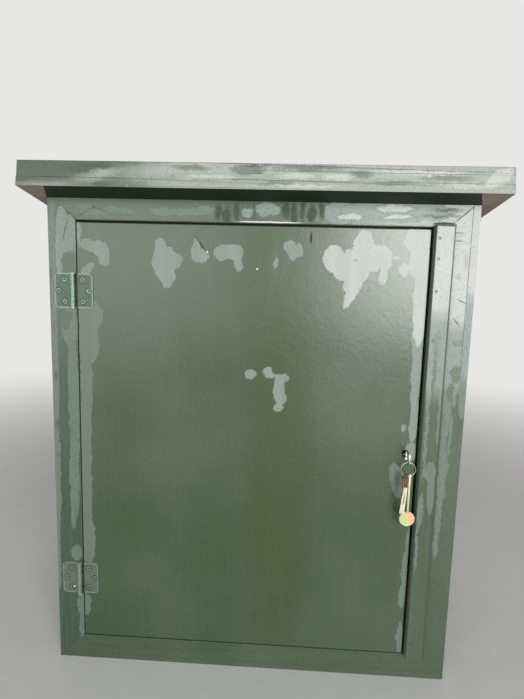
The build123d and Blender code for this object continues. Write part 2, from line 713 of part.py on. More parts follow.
# Follower: the key's end turns its hub, and its finger moves the bolt
hub_length = CASE_DEPTH - CASE_WALL - 2 * BOLT_CLEARANCE
with BuildPart() as lock_follower:
    with BuildSketch(DOOR_REAR_PLANE.offset(-BOLT_CLEARANCE)):
        with Locations((KEY_X, KEY_HEIGHT)):
            Circle(HUB_RADIUS)
    extrude(amount=-hub_length)
    with BuildSketch(Plane.XZ.offset(FINGER_THICKNESS / 2 - BOLT_Y)):
        with Locations(Location((KEY_X, KEY_HEIGHT, 0), (0, 0, FINGER_ANGLE))):
            Rectangle(FINGER_WIDTH, FINGER_REACH, align=(Align.CENTER, Align.MIN))
    extrude(amount=-FINGER_THICKNESS)
    with BuildSketch(DOOR_REAR_PLANE.offset(-CASE_DEPTH)):
        with Locations((KEY_X, KEY_HEIGHT)):
            Circle(SPIGOT_RADIUS)
    extrude(amount=CASE_WALL + BOLT_CLEARANCE)
    with BuildSketch(DOOR_REAR_PLANE):
        with Locations((KEY_X, KEY_HEIGHT)):
            Circle(SHANK_RADIUS + FIT)
            Rectangle(BIT_WIDTH + 2 * FIT, BIT_REACH + FIT, align=(Align.CENTER, Align.MAX))
    extrude(amount=-(BOLT_CLEARANCE + BIT_LENGTH + FIT), mode=Mode.SUBTRACT)
finish(lock_follower.part, "lock_follower")

# Keep plate on its batten
keep_rise = BOLT_HEIGHT / 2 + KEEP_MARGIN
with BuildPart() as keep_plate:
    add(
        block(
            (KEEP_FACE, POST_LEFT),
            (FRAME_REAR, FRAME_REAR + BATTEN),
            (BOLT_MIDDLE - keep_rise, BOLT_MIDDLE + keep_rise),
        )
    )
    bolt_window(POST_LEFT, KEEP_CLEARANCE)
    screw_bores(
        keep_screw_planes, LOCK_SCREW_HEAD_RADIUS, LOCK_SCREW_SHANK_RADIUS, lock_screw_length
    )
finish(keep_plate.part, "keep_plate")

with BuildPart() as keep_plate_screws:
    with Locations(*keep_screw_planes):
        add(lock_screw)
finish(keep_plate_screws.part, "keep_plate_screws")

# Key: an oval bow, a round shank and a small bit
bow_middle = FRONT - (BOW_FRONT + BOW_BACK) / 2
bow_length = BOW_FRONT - BOW_BACK
shank_start = BOW_BACK + BOW_RIM / 2
with BuildPart() as key:
    with BuildSketch(Plane.YZ.offset(KEY_X - BOW_THICKNESS / 2)):
        with Locations((bow_middle, KEY_HEIGHT)):
            RectangleRounded(bow_length, 2 * BOW_HALF_HEIGHT, BOW_CORNER)
            RectangleRounded(
                bow_length - 2 * BOW_RIM,
                2 * (BOW_HALF_HEIGHT - BOW_RIM),
                BOW_HOLE_CORNER,
                mode=Mode.SUBTRACT,
            )
    extrude(amount=BOW_THICKNESS)
    bow_sides = key.faces().filter_by(Plane.YZ)
    fillet(bow_sides.edges(), BOW_ROUNDING)
    with BuildSketch(FRONT_PLANE.offset(shank_start)):
        with Locations((KEY_X, KEY_HEIGHT)):
            Circle(SHANK_RADIUS)
    extrude(amount=-(shank_start + DOOR_THICKNESS + BOLT_CLEARANCE + BIT_LENGTH))
    with BuildSketch(DOOR_REAR_PLANE.offset(-BOLT_CLEARANCE)):
        with Locations((KEY_X, KEY_HEIGHT)):
            Rectangle(BIT_WIDTH, BIT_REACH, align=(Align.CENTER, Align.MAX))
    extrude(amount=-BIT_LENGTH)
finish(key.part, "key")

# Split ring, hung in the bow's hole close to its rounded corner
past_corner = BOW_HOLE_CORNER - RING_SIDE_PLAY - WIRE_RADIUS
hole_half_height = BOW_HALF_HEIGHT - BOW_RIM - BOW_HOLE_CORNER
hole_half_height += (BOW_HOLE_CORNER**2 - max(past_corner, 0) ** 2) ** 0.5
ring_top = KEY_HEIGHT - hole_half_height + WIRE_RADIUS + RING_PLAY
ring_centre = ring_top - RING_RADIUS
with BuildPart() as key_ring:
    with BuildSketch(Plane.YZ.offset(KEY_X)):
        with Locations((RING_Y, ring_top)):
            Circle(WIRE_RADIUS)
    revolve(axis=Axis((KEY_X, RING_Y, ring_centre), TO_BACK))
finish(key_ring.part, "key_ring")


def hanging_loop(offset, width, wall):
    """Outer radius, hole radius and height of a loop round the ring's wire at an offset."""
    heights = []
    for reach in (offset - width / 2, offset, offset + width / 2):
        heights.append(ring_centre - (RING_RADIUS**2 - reach**2) ** 0.5)
    hole = (max(heights) - min(heights)) / 2 + WIRE_RADIUS + RING_PLAY
    return hole + wall, hole, (max(heights) + min(heights)) / 2


# Fob: a leather tab with a folded ribbon, and a strap with a round disc
tab_outer, tab_hole, tab_centre = hanging_loop(TAB_OFFSET, TAB_LOOP_WIDTH, TAB_LEATHER)
tab_x = KEY_X + TAB_OFFSET
tab_shoulder = tab_centre - tab_outer
tab_bottom = tab_centre - TAB_LENGTH
with BuildPart() as fob_tab:
    with BuildSketch(Plane.YZ.offset(tab_x - TAB_LOOP_WIDTH / 2)):
        with Locations((RING_Y, tab_centre)):
            Circle(tab_outer)
        with Locations((RING_Y, tab_shoulder)):
            Rectangle(TAB_THICKNESS, 2 * tab_outer)
        with Locations((RING_Y, tab_centre)):
            Circle(tab_hole, mode=Mode.SUBTRACT)
    extrude(amount=TAB_LOOP_WIDTH)
    with BuildSketch(Plane.XZ.offset(-RING_Y - TAB_THICKNESS / 2)) as tab_outline:
        with BuildLine():
            Polyline(
                (tab_x - TAB_LOOP_WIDTH / 2, tab_shoulder),
                (tab_x + TAB_LOOP_WIDTH / 2, tab_shoulder),
                (tab_x + TAB_WIDTH / 2, tab_shoulder - TAB_WIDTH / 2),
                (tab_x + TAB_WIDTH / 2, tab_bottom),
                (tab_x - TAB_WIDTH / 2, tab_bottom),
                (tab_x - TAB_WIDTH / 2, tab_shoulder - TAB_WIDTH / 2),
                close=True,
            )
        make_face()
        fillet(tab_outline.vertices().group_by(Axis.Y)[0], TAB_CORNER)
    extrude(amount=TAB_THICKNESS)
finish(fob_tab.part, "fob_tab")

ribbon_end = tab_bottom - RIBBON_LENGTH
ribbon_fork = tab_bottom - RIBBON_WIDTH
with BuildPart() as fob_ribbon:
    with BuildSketch(Plane.XZ.offset(-RING_Y + TAB_THICKNESS / 2)):
        with BuildLine():
            Polyline(
                (tab_x - RIBBON_WIDTH, tab_bottom + RIBBON_LAP),
                (tab_x + RIBBON_WIDTH, tab_bottom + RIBBON_LAP),
                (tab_x + RIBBON_WIDTH, ribbon_fork),
                (tab_x + RIBBON_WIDTH / 2, ribbon_end),
                (tab_x - RIBBON_WIDTH / 2, ribbon_end),
                (tab_x, ribbon_fork),
                (tab_x - RIBBON_SPLAY + RIBBON_WIDTH / 2, ribbon_end),
                (tab_x - RIBBON_SPLAY - RIBBON_WIDTH / 2, ribbon_end),
                (tab_x - RIBBON_WIDTH, ribbon_fork),
                close=True,
            )
        make_face()
    extrude(amount=RIBBON_THICKNESS)
finish(fob_ribbon.part, "fob_ribbon")

strap_outer, strap_hole, strap_centre = hanging_loop(STRAP_OFFSET, STRAP_WIDTH, STRAP_LOOP_WALL)
strap_x = KEY_X + STRAP_OFFSET
strap_bottom = strap_centre - STRAP_LENGTH
with BuildPart() as fob_strap:
    with BuildSketch(Plane.YZ.offset(strap_x - STRAP_WIDTH / 2)):
        with Locations((RING_Y, strap_centre)):
            Circle(strap_outer)
        with Locations((RING_Y, (strap_centre + strap_bottom) / 2)):
            Rectangle(STRAP_THICKNESS, STRAP_LENGTH)
        with Locations((RING_Y, strap_centre)):
            Circle(strap_hole, mode=Mode.SUBTRACT)
    extrude(amount=STRAP_WIDTH)
finish(fob_strap.part, "fob_strap")

with BuildPart() as fob_disc:
    with BuildSketch(Plane.XZ.offset(-RING_Y - STRAP_THICKNESS / 2)):
        with Locations((strap_x, strap_bottom - DISC_RADIUS + DISC_LAP)):
            Circle(DISC_RADIUS)
    extrude(amount=-DISC_THICKNESS)
    fillet(fob_disc.edges().filter_by(GeomType.CIRCLE), DISC_EDGE)
finish(fob_disc.part, "fob_disc")

print("door hinge axis", round(HINGE_X, 3), round(HINGE_Y, 3))
print("key axis", round(KEY_X, 3), round(KEY_HEIGHT, 3))
print("ring pivot", round(KEY_X, 3), round(RING_Y, 3), round(KEY_HEIGHT - BOW_HALF_HEIGHT + BOW_RIM / 2, 3))
print("back height", round(roof_underside(BACK), 3))
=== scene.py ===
"""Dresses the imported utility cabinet: brushed green gloss with pale worn patches, painted-over hinges, a rim
lock with its key in place, and a small fob on a split ring.
"""

import logging
from dataclasses import dataclass
from enum import Enum
from math import pi, radians, sin
from typing import ClassVar

import bmesh
import bpy
from bmesh.types import BMEdge, BMesh, BMVert
from bpy.types import Material, Node, NodeOutputs, NodeSocket, NodeTree, Object
from mathutils import Euler, Matrix, Vector

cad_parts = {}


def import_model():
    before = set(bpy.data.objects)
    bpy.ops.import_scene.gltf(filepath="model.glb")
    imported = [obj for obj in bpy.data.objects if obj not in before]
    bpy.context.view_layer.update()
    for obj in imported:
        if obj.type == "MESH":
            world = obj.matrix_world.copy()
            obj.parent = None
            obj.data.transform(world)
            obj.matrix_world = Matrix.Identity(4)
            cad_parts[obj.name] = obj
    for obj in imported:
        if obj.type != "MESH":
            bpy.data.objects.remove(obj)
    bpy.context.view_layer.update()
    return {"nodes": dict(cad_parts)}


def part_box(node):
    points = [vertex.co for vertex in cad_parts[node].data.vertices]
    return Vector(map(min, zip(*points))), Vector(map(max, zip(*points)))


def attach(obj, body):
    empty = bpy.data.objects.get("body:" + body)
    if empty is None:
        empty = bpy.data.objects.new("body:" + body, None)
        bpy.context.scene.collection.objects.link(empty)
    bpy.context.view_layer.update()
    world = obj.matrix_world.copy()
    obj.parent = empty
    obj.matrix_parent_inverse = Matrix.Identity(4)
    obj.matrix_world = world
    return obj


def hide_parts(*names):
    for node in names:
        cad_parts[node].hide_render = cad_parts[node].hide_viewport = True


LOG = logging.getLogger("cabinet")
MM = 0.001
SAME = 1e-6  # points nearer than this, in metres, are one point
SHARP = radians(50)  # an edge that turns by more is rounded

Ellipse = tuple[float, ...]
Span = tuple[float, float]
Colour = tuple[float, float, float]
Value = NodeSocket | float


class Brushing(Enum):
    """Which way a board was brushed, as streaks per metre along each axis."""

    UPRIGHT = (430.0, 430.0, 7.0)
    LEVEL = (7.0, 430.0, 430.0)
    FRONT_TO_BACK = (430.0, 7.0, 430.0)


class Wiring:
    """Places and joins the nodes of one tree."""

    def __init__(self, tree: NodeTree) -> None:
        """Takes the tree that the nodes go into."""
        self.tree = tree

    def place(self, kind: str, inputs: dict | None = None, **settings: object) -> Node:
        """Adds a node.

        Args:
            kind: The node's type name, without ShaderNode.
            inputs: A socket, number or colour for each input, by name or number.
            settings: The node's own options.

        Returns:
            The new node.
        """
        node = self.tree.nodes.new(kind if kind.startswith("NodeGroup") else f"ShaderNode{kind}")
        for option, value in settings.items():
            setattr(node, option, value)
        for key, value in (inputs or {}).items():
            self.feed(node.inputs[key], value)
        return node

    def feed(self, socket: NodeSocket, value: object) -> None:
        """Joins a socket to an input, or sets the input's own value.

        Args:
            socket: The input.
            value: Another node's output, a number, a vector or a colour.
        """
        if isinstance(value, NodeSocket):
            self.tree.links.new(value, socket)
        elif socket.type == "RGBA" and len(value) == 3:
            socket.default_value = (*value, 1.0)
        else:
            socket.default_value = value

    def number(self, operation: str, *values: Value) -> NodeSocket:
        """Works out a number from one to three others.

        Args:
            operation: The Math node's operation.
            values: Its inputs, sockets or numbers.

        Returns:
            The result.
        """
        return self.place("Math", dict(enumerate(values)), operation=operation).outputs[0]

    def times(self, first: Value, second: Value) -> NodeSocket:
        """Multiplies two numbers."""
        return self.number("MULTIPLY", first, second)

    def rest(self, value: Value) -> NodeSocket:
        """Gives what a number leaves of one."""
        return self.number("SUBTRACT", 1.0, value)

    def scaled(self, value: Value, scale: Value, more: Value) -> NodeSocket:
        """Scales a number and adds another."""
        return self.number("MULTIPLY_ADD", value, scale, more)

    def apart(self, first: Value, second: Value) -> NodeSocket:
        """Gives how far two numbers are apart."""
        return self.number("ABSOLUTE", self.number("SUBTRACT", first, second))

    def vector(self, operation: str, first: object, second: object = None, scale: object = None) -> NodeSocket:
        """Works out a vector, or a number from vectors.

        Args:
            operation: The Vector Math node's operation.
            first: The first vector.
            second: The second vector, if the operation has one.
            scale: The number to scale by, if the operation is SCALE.

        Returns:
            The result.
        """
        given = {0: first, 1: second, "Scale": scale}
        inputs = {key: value for key, value in given.items() if value is not None}
        node = self.place("VectorMath", inputs, operation=operation)
        return node.outputs["Value" if operation in ("LENGTH", "DOT_PRODUCT") else "Vector"]

    def split(self, vector: NodeSocket) -> NodeOutputs:
        """Gives a vector's X, Y and Z."""
        return self.place("SeparateXYZ", {0: vector}).outputs

    def span(self, value: Value, low: float, high: float, start: float = 0.0, end: float = 1.0) -> NodeSocket:
        """Maps a number smoothly from one span to another, and holds it there.

        Args:
            value: The number.
            low: Where the change starts.
            high: Where it ends.
            start: The result at low.
            end: The result at high.

        Returns:
            The mapped number.
        """
        inputs = {"Value": value, "From Min": low, "From Max": high, "To Min": start, "To Max": end}
        return self.place("MapRange", inputs, interpolation_type="SMOOTHSTEP").outputs["Result"]

    def within(self, share: Value, low: float, high: float) -> NodeSocket:
        """Gives a number between two others, by a share from 0 to 1."""
        return self.span(share, 0.0, 1.0, low, high)

    def blend(self, amount: Value, first: object, second: object) -> NodeSocket:
        """Mixes two colours.

        Args:
            amount: How much of the second, from 0 to 1.
            first: The first colour.
            second: The second colour.

        Returns:
            The mixed colour.
        """
        return self.place("Mix", {0: amount, 6: first, 7: second}, data_type="RGBA").outputs[2]

    def over(self, colour: object, *layers: tuple[Value, object]) -> NodeSocket:
        """Lays colours over a colour, one after the other.

        Args:
            colour: What lies below.
            layers: How much of each colour lies over it, and the colour.

        Returns:
            The colour that they give.
        """
        for amount, tint in layers:
            colour = self.blend(amount, colour, tint)
        return colour

    def noise(
        self, vector: NodeSocket, scale: Value, detail: float = 3.0, roughness: float = 0.55
    ) -> NodeOutputs:
        """Adds a noise over a vector.

        Args:
            vector: Where the noise is read.
            scale: Its cells to a unit.
            detail: How many finer layers it has.
            roughness: How strong the finer layers are.

        Returns:
            The noise node's outputs: its number, then its colour.
        """
        inputs = {"Vector": vector, "Scale": scale, "Detail": detail, "Roughness": roughness}
        return self.place("TexNoise", inputs).outputs


class Group(Wiring):
    """A shader node group being built."""

    def __init__(self, name: str, inputs: dict[str, str], *outputs: str) -> None:
        """Makes an empty group with named sockets.

        Args:
            name: The group's name.
            inputs: Each input's name and kind, Float or Vector, besides the Place that every group reads.
            outputs: Each output's name; Millimetres is a vector and the others are numbers.
        """
        super().__init__(bpy.data.node_groups.new(name, "ShaderNodeTree"))
        add_socket = self.tree.interface.new_socket
        for label, kind in {"Place": "Vector", **inputs}.items():
            add_socket(name=label, in_out="INPUT", socket_type=f"NodeSocket{kind}")
        for label in outputs:
            kind = "Vector" if label == "Millimetres" else "Float"
            add_socket(name=label, in_out="OUTPUT", socket_type=f"NodeSocket{kind}")
        self.given = self.place("NodeGroupInput").outputs
        self.result = self.place("NodeGroupOutput").inputs

    def give(self, **values: NodeSocket) -> NodeTree:
        """Joins the group's outputs.

        Args:
            values: What each output gives.

        Returns:
            The finished group.
        """
        for label, value in values.items():
            self.feed(self.result[label], value)
        return self.tree


class Effects:
    """The shared shader groups, each built when a finish first asks for it."""

    def __init__(self) -> None:
        """Starts with no group built."""
        self.built: dict[str, NodeTree] = {}

    def use(self, wiring: Wiring, effect: str, inputs: dict) -> NodeOutputs:
        """Places a shared group in a material.

        Args:
            wiring: The material's wiring.
            effect: The group's name, which is also the name of the method that builds it.
            inputs: A value or socket for each of its inputs.

        Returns:
            The outputs of the group's node.
        """
        if effect not in self.built:
            self.built[effect] = getattr(self, effect)()
        return wiring.place("Group", inputs, node_tree=self.built[effect]).outputs

    def film_patch(self) -> NodeTree:
        """Joins one elliptical patch to those before it, and gives the distance to the nearest edge.

        Returns:
            The group.
        """
        vectors = dict.fromkeys(("Centre", "Radii", "Turn"), "Vector")
        group = Group("film_patch", {"Nearest": "Float", **vectors, "Reach": "Float"}, "Nearest")
        sockets = {"Vector": "Place", "Location": "Centre", "Rotation": "Turn", "Scale": "Radii"}
        sockets = {socket: group.given[label] for socket, label in sockets.items()}
        local = group.place("Mapping", sockets, vector_type="TEXTURE").outputs["Vector"]
        out = group.number("SUBTRACT", group.vector("LENGTH", local), 1.0)
        edge = group.times(out, group.given["Reach"])
        return group.give(Nearest=group.number("SMOOTH_MIN", group.given["Nearest"], edge, 2.0))

    def ragged_place(self) -> NodeTree:
        """Turns a place in metres into millimetres that wander and fray.

        Returns:
            The group.
        """
        group = Group("ragged_place", {"Wander": "Float", "Fray": "Float"}, "Millimetres")
        place = group.given["Place"]
        total = group.vector("SCALE", place, scale=1 / MM)
        for label, noise in (("Wander", (62.0, 4.0, 0.65)), ("Fray", (380.0, 3.0, 0.7))):
            centred = group.vector("SUBTRACT", group.noise(place, *noise)["Color"], (0.5, 0.5, 0.5))
            total = group.vector("ADD", total, group.vector("SCALE", centred, scale=group.given[label]))
        return group.give(Millimetres=total)

    def brush_marks(self) -> NodeTree:
        """Marks of a bristle brush: fine ridges, wide streaks, the film's own ripple, and its grit.

        Returns:
            The group.
        """
        group = Group("brush_marks", {"Spacing": "Vector"}, "Ridges", "Streaks", "Ripple", "Grit")
        place = group.given["Place"]
        drawn = group.vector("MULTIPLY", place, group.given["Spacing"])
        return group.give(
            Ridges=group.noise(drawn, 1.0, detail=3.0, roughness=0.6)[0],
            Streaks=group.span(group.noise(drawn, 0.16, detail=4.0, roughness=0.6)[0], 0.36, 0.66),
            Ripple=group.noise(place, 150.0, detail=2.0, roughness=0.4)[0],
            Grit=group.noise(place, 430.0, detail=3.0, roughness=0.75)[0],
        )

    def cloudiness(self) -> NodeTree:
        """Slow unevenness of a coat, and blotches with a clear edge.

        Returns:
            The group.
        """
        group = Group("cloudiness", {"Scale": "Float"}, "Cloud", "Blotch")
        place, scale = group.given["Place"], group.given["Scale"]
        slow = group.noise(place, scale, detail=3.0, roughness=0.5)[0]
        patchy = group.noise(place, group.times(scale, 2.3), detail=5.0, roughness=0.5)[0]
        return group.give(Cloud=group.span(slow, 0.3, 0.7), Blotch=group.span(patchy, 0.63, 0.642))

    def specks(self) -> NodeTree:
        """Scattered small flecks of dirt or dropped paint.

        Returns:
            The group.
        """
        group = Group("specks", {"Scale": "Float", "Size": "Float"}, "Mask")
        sockets = {"Vector": group.given["Place"], "Scale": group.given["Scale"]}
        cells = group.place("TexVoronoi", sockets).outputs
        near = group.number("LESS_THAN", cells["Distance"], group.given["Size"])
        chosen = group.place("SeparateColor", {0: cells["Color"]}).outputs[0]
        return group.give(Mask=group.times(near, group.number("LESS_THAN", chosen, 0.3)))

    def timber_grain(self) -> NodeTree:
        """The grain of sawn softwood.

        Returns:
            The group.
        """
        group = Group("timber_grain", {"Spacing": "Vector"}, "Grain", "Pores")
        drawn = group.vector("MULTIPLY", group.given["Place"], group.given["Spacing"])
        bend = group.vector("SCALE", group.noise(drawn, 0.5, detail=2.0)["Color"], scale=0.8)
        rings = group.noise(group.vector("ADD", drawn, bend), 0.5, detail=4.0, roughness=0.65)[0]
        pores = group.noise(drawn, 3.0, detail=2.0, roughness=0.7)[0]
        return group.give(Grain=group.span(rings, 0.32, 0.68), Pores=group.span(pores, 0.5, 0.72))

    def metal_wear(self) -> NodeTree:
        """Handled surfaces: fine scratches, and dull places that fingers don't reach.

        Returns:
            The group.
        """
        group = Group("metal_wear", {"Scale": "Float"}, "Tarnish", "Scratches")
        place = group.given["Place"]
        dull = group.noise(place, group.given["Scale"], detail=4.0, roughness=0.6)[0]
        drawn = group.vector("MULTIPLY", place, (1.0, 1.0, 0.12))
        scratches = group.noise(drawn, 3000.0, detail=2.0, roughness=0.6)[0]
        return group.give(Tarnish=group.span(dull, 0.35, 0.68), Scratches=scratches)


EFFECTS = Effects()


@dataclass(frozen=True)
class PatchLook:
    """How one kind of patch looks, worn film or painted light and shade: its colour, how much it covers,
    and how soft its edge is in millimetres.
    """

    tint: Colour
    cover: float
    soft: float = 0.7
    neat: bool = False
    chalky: bool = True
    matt: bool = False


def patch_kinds(**changed: PatchLook) -> tuple[tuple[str, PatchLook], ...]:
    """Gives the kinds of patch in the order that they are laid, with some of them changed.

    Args:
        changed: The kinds that look different on this board.

    Returns:
        Each kind's name and look.
    """
    usual = {
        "shade": PatchLook((0.034, 0.059, 0.011), 0.75, 19.0, chalky=False),
        "faint": PatchLook((0.142, 0.187, 0.155), 0.85),
        "pale": PatchLook((0.215, 0.265, 0.235), 0.9),
        "white": PatchLook((0.43, 0.45, 0.43), 0.93),
        "dark": PatchLook((0.050, 0.080, 0.040), 0.8, 1.0, chalky=False),
        # worn: small bright marks, and the painted highlight along the top rail's lower arris
        "worn": PatchLook((0.72, 0.73, 0.66), 0.95, 0.3, neat=True),
        # lines: dark joints and cracks, and painted shade along the cover strip's top end and right side
        "lines": PatchLook((0.010, 0.018, 0.008), 0.85, 0.3, neat=True, chalky=False, matt=True),
    }
    return tuple((usual | changed).items())


USUAL_WEAR = patch_kinds()
# The strip's soft-edged pale and white kinds carry painted glow of the window light; its dark lines carry
# painted shade.
STRIP_WEAR_GLOW_AND_SHADE = patch_kinds(
    pale=PatchLook((0.215, 0.265, 0.235), 0.9, 12.0),
    white=PatchLook((0.43, 0.45, 0.43), 0.93, 14.0),
    lines=PatchLook((0.030, 0.058, 0.034), 0.95, 0.4, neat=True, chalky=False, matt=True),
)
RAIL_WEAR_HIGHLIGHT_AND_SHADE = patch_kinds(dark=PatchLook((0.020, 0.040, 0.014), 0.75, 2.4, chalky=False, matt=True))
# Soft-edged pale and white kinds for the painted glow of the window light on the right-hand boards.
STILE_WEAR_GLOW_AND_SHADE = patch_kinds(
    pale=PatchLook((0.215, 0.265, 0.235), 0.9, 8.0),
    white=PatchLook((0.43, 0.45, 0.43), 0.93, 12.0),
)
FASCIA_WEAR_AND_GLOW = (
    ("shade", PatchLook((0.060, 0.084, 0.060), 0.95, 8.0, chalky=False)),
    ("pale", PatchLook((0.35, 0.38, 0.345), 0.92, 6.0)),
    ("white", PatchLook((0.49, 0.51, 0.48), 0.85, 1.8)),
    ("faint", PatchLook((0.125, 0.162, 0.124), 0.85, 1.6)),
    ("dark", PatchLook((0.040, 0.066, 0.030), 0.85, 1.2, chalky=False)),
    ("lines", PatchLook((0.040, 0.055, 0.036), 0.75, 0.35, neat=True, chalky=False, matt=True)),
)


@dataclass(frozen=True)
class Film:
    """Places where the coat on a board's front has changed, and places of painted glow, highlight and shade,
    in millimetres as seen from the front: centre across and up, half width, half height, and turn in degrees
    where it is turned."""

    name: str
    shade: tuple[Ellipse, ...] = ()
    faint: tuple[Ellipse, ...] = ()
    pale: tuple[Ellipse, ...] = ()
    white: tuple[Ellipse, ...] = ()
    dark: tuple[Ellipse, ...] = ()
    worn: tuple[Ellipse, ...] = ()
    lines: tuple[Ellipse, ...] = ()

    FAR = 500.0
    THROUGH = 100000.0

    def distance(self, wiring: Wiring, kind: str, place: NodeSocket) -> NodeSocket | None:
        """Places the group that measures to the nearest of one kind of patch.

        Args:
            wiring: The material's wiring.
            kind: The kind of patch.
            place: The place in millimetres.

        Returns:
            The distance in millimetres, below zero inside a patch, or nothing where there is no such patch.
        """
        patches = getattr(self, kind)
        if not patches:
            return None
        group = Group(f"{self.name}_{kind}", {}, "Nearest")
        nearest: Value = self.FAR
        for across, up, half_width, half_height, *turn in patches:
            inputs = {
                "Place": group.given["Place"],
                "Nearest": nearest,
                "Centre": (across, 0.0, up),
                "Radii": (half_width, self.THROUGH, half_height),
                "Turn": (0.0, -radians(sum(turn)), 0.0),
                "Reach": min(half_width, half_height),
            }
            nearest = EFFECTS.use(group, "film_patch", inputs)["Nearest"]
        tree = group.give(Nearest=nearest)
        return wiring.place("Group", {"Place": place}, node_tree=tree).outputs["Nearest"]


DOOR_FILM = Film(
    "door_film",
    white=(
        (108.6, 654.3, 15, 19.8), (123.5, 642, 17.1, 18.4), (136.1, 618.1, 11.4, 12.9),
        (138, 608.1, 7.2, 27.2, -26), (150.3, 672.2, 14.1, 23.8), (163.9, 657.1, 17, 19.7, -10),
        (179.4, 657.4, 12, 16.9), (179.5, 632, 6.4, 12.1), (143.7, 636.8, 17.1, 15.6),
        (132.5, 660.5, 8.5, 8.4), (225.5, 683.6, 19.5, 19.4), (230.4, 653, 15.4, 25.2),
        (209.3, 641.3, 7, 9.2), (198.5, 657.2, 4.9, 3.4), (235.7, 596.5, 11, 65.9),
    ),
    pale=(
        (-247.6, 666, 14.9, 9.3, -8), (-234.2, 662, 11.9, 10.8, -20), (-227, 650.6, 8.2, 13, -15),
        (-222.6, 640.6, 3.9, 5.8, -20), (-264.3, 684.3, 3.3, 20), (-252.1, 631.2, 12, 5.8, 37),
        (-143.1, 666.9, 7.4, 12.1), (-137.2, 648.5, 17, 20.1), (-123.2, 645.9, 12.5, 12.9, -30),
        (-133.5, 634.1, 12.6, 28.9), (-146, 643.9, 8.9, 21.6), (-85, 653.3, 12.4, 10),
        (-91.7, 666.7, 6.1, 13.5, -8), (-52.9, 659, 12.4, 11.4), (-34, 659.5, 13.1, 12.1),
        (-42.8, 663.5, 17.4, 7.1), (-28.6, 643.9, 5.8, 12.1), (45.1, 669.8, 7.9, 8.5),
        (58.1, 665.8, 6.4, 9.9), (49.8, 657.2, 5.7, 7.8), (24.9, 646.6, 3.2, 8.5), (-7.3, 482.7, 9.4, 7.6),
        (18.7, 486.6, 7.4, 6.9), (24.8, 481.6, 11.9, 3), (41.3, 478.4, 8.9, 5.4), (35.9, 459.9, 8.1, 22.1),
        (38.5, 447.8, 8.7, 9.2), (35.2, 433.1, 7.2, 6.8), (235.4, 548.9, 9.4, 43.7),
        (236.4, 482.5, 7.2, 53.8), (237.3, 425.2, 6.3, 39.7), (236.5, 372.7, 10.3, 14),
        (224.4, 409.3, 3.8, 5.5),
    ),
    faint=(
        (-249.7, 561.9, 18.6, 23.9), (-252, 522.8, 15.7, 33.4), (-257.1, 456.6, 9.6, 65.3),
        (-259.6, 369.8, 8.5, 80.2), (-260.8, 272, 9, 66.4), (-259.6, 205, 11.4, 44.2),
        (-265.9, 94, 9.3, 19.4), (-271.6, 60, 4.2, 25), (241.1, 224.4, 4.5, 29.5), (239.4, 179.7, 4.9, 33.3),
        (238.1, 141, 5.5, 21.9), (239, 69.2, 5.6, 27.7), (217.1, 327.9, 9, 28.5, 12),
    ),
    dark=(
        (-263.1, 643.3, 10.5, 13.1), (-246.4, 650.2, 6.9, 6.1), (229.5, 388.7, 6.6, 2.8, -10),
        (76.2, 660.6, 3.1, 35.3),
    ),
    worn=((-1.3, 637.4, 1.6, 1.3), (-74.7, 659.9, 1.5, 1.4)),
    lines=((-84.6, 671.5, 15.6, 1.1, -54), (74.6, 683.1, 1.6, 8.4)),
    shade=((0, 633.2, 23.2, 106), (41.4, 335.5, 50.4, 342.5)),
)
LEFT_STILE_FILM = Film(
    "left_stile_film",
    pale=(
        (-288.7, 695.2, 9, 25.7), (-274.1, 681.2, 9, 31.5), (-294.5, 649, 5.3, 37.8),
        (-283.6, 662.3, 10.5, 10.1),
    ),
    faint=(
        (-280.6, 546, 13.8, 30.1), (-277.3, 432.5, 8.5, 122.5), (-279.2, 307.4, 8.3, 65.7),
        (-283.7, 242.5, 4.2, 18.5), (-278.7, 181.8, 8.2, 13.7), (-272.5, 93.6, 8.6, 19.4),
        (-272.3, 65.3, 3.7, 19.6), (-273.6, 45.6, 3, 12.6),
    ),
    dark=(
        (-275.1, 643, 15.8, 14.5), (-284.8, 560.9, 11.5, 9), (-286.7, 548.8, 6.1, 9), (-279, 723, 9.6, 4.9),
    ),
    lines=((-282.3, 694.6, 7.5, 0.4, 76), (-287, 679.5, 9, 0.4, 76), (-278.7, 712.3, 11.9, 0.4, -43)),
)
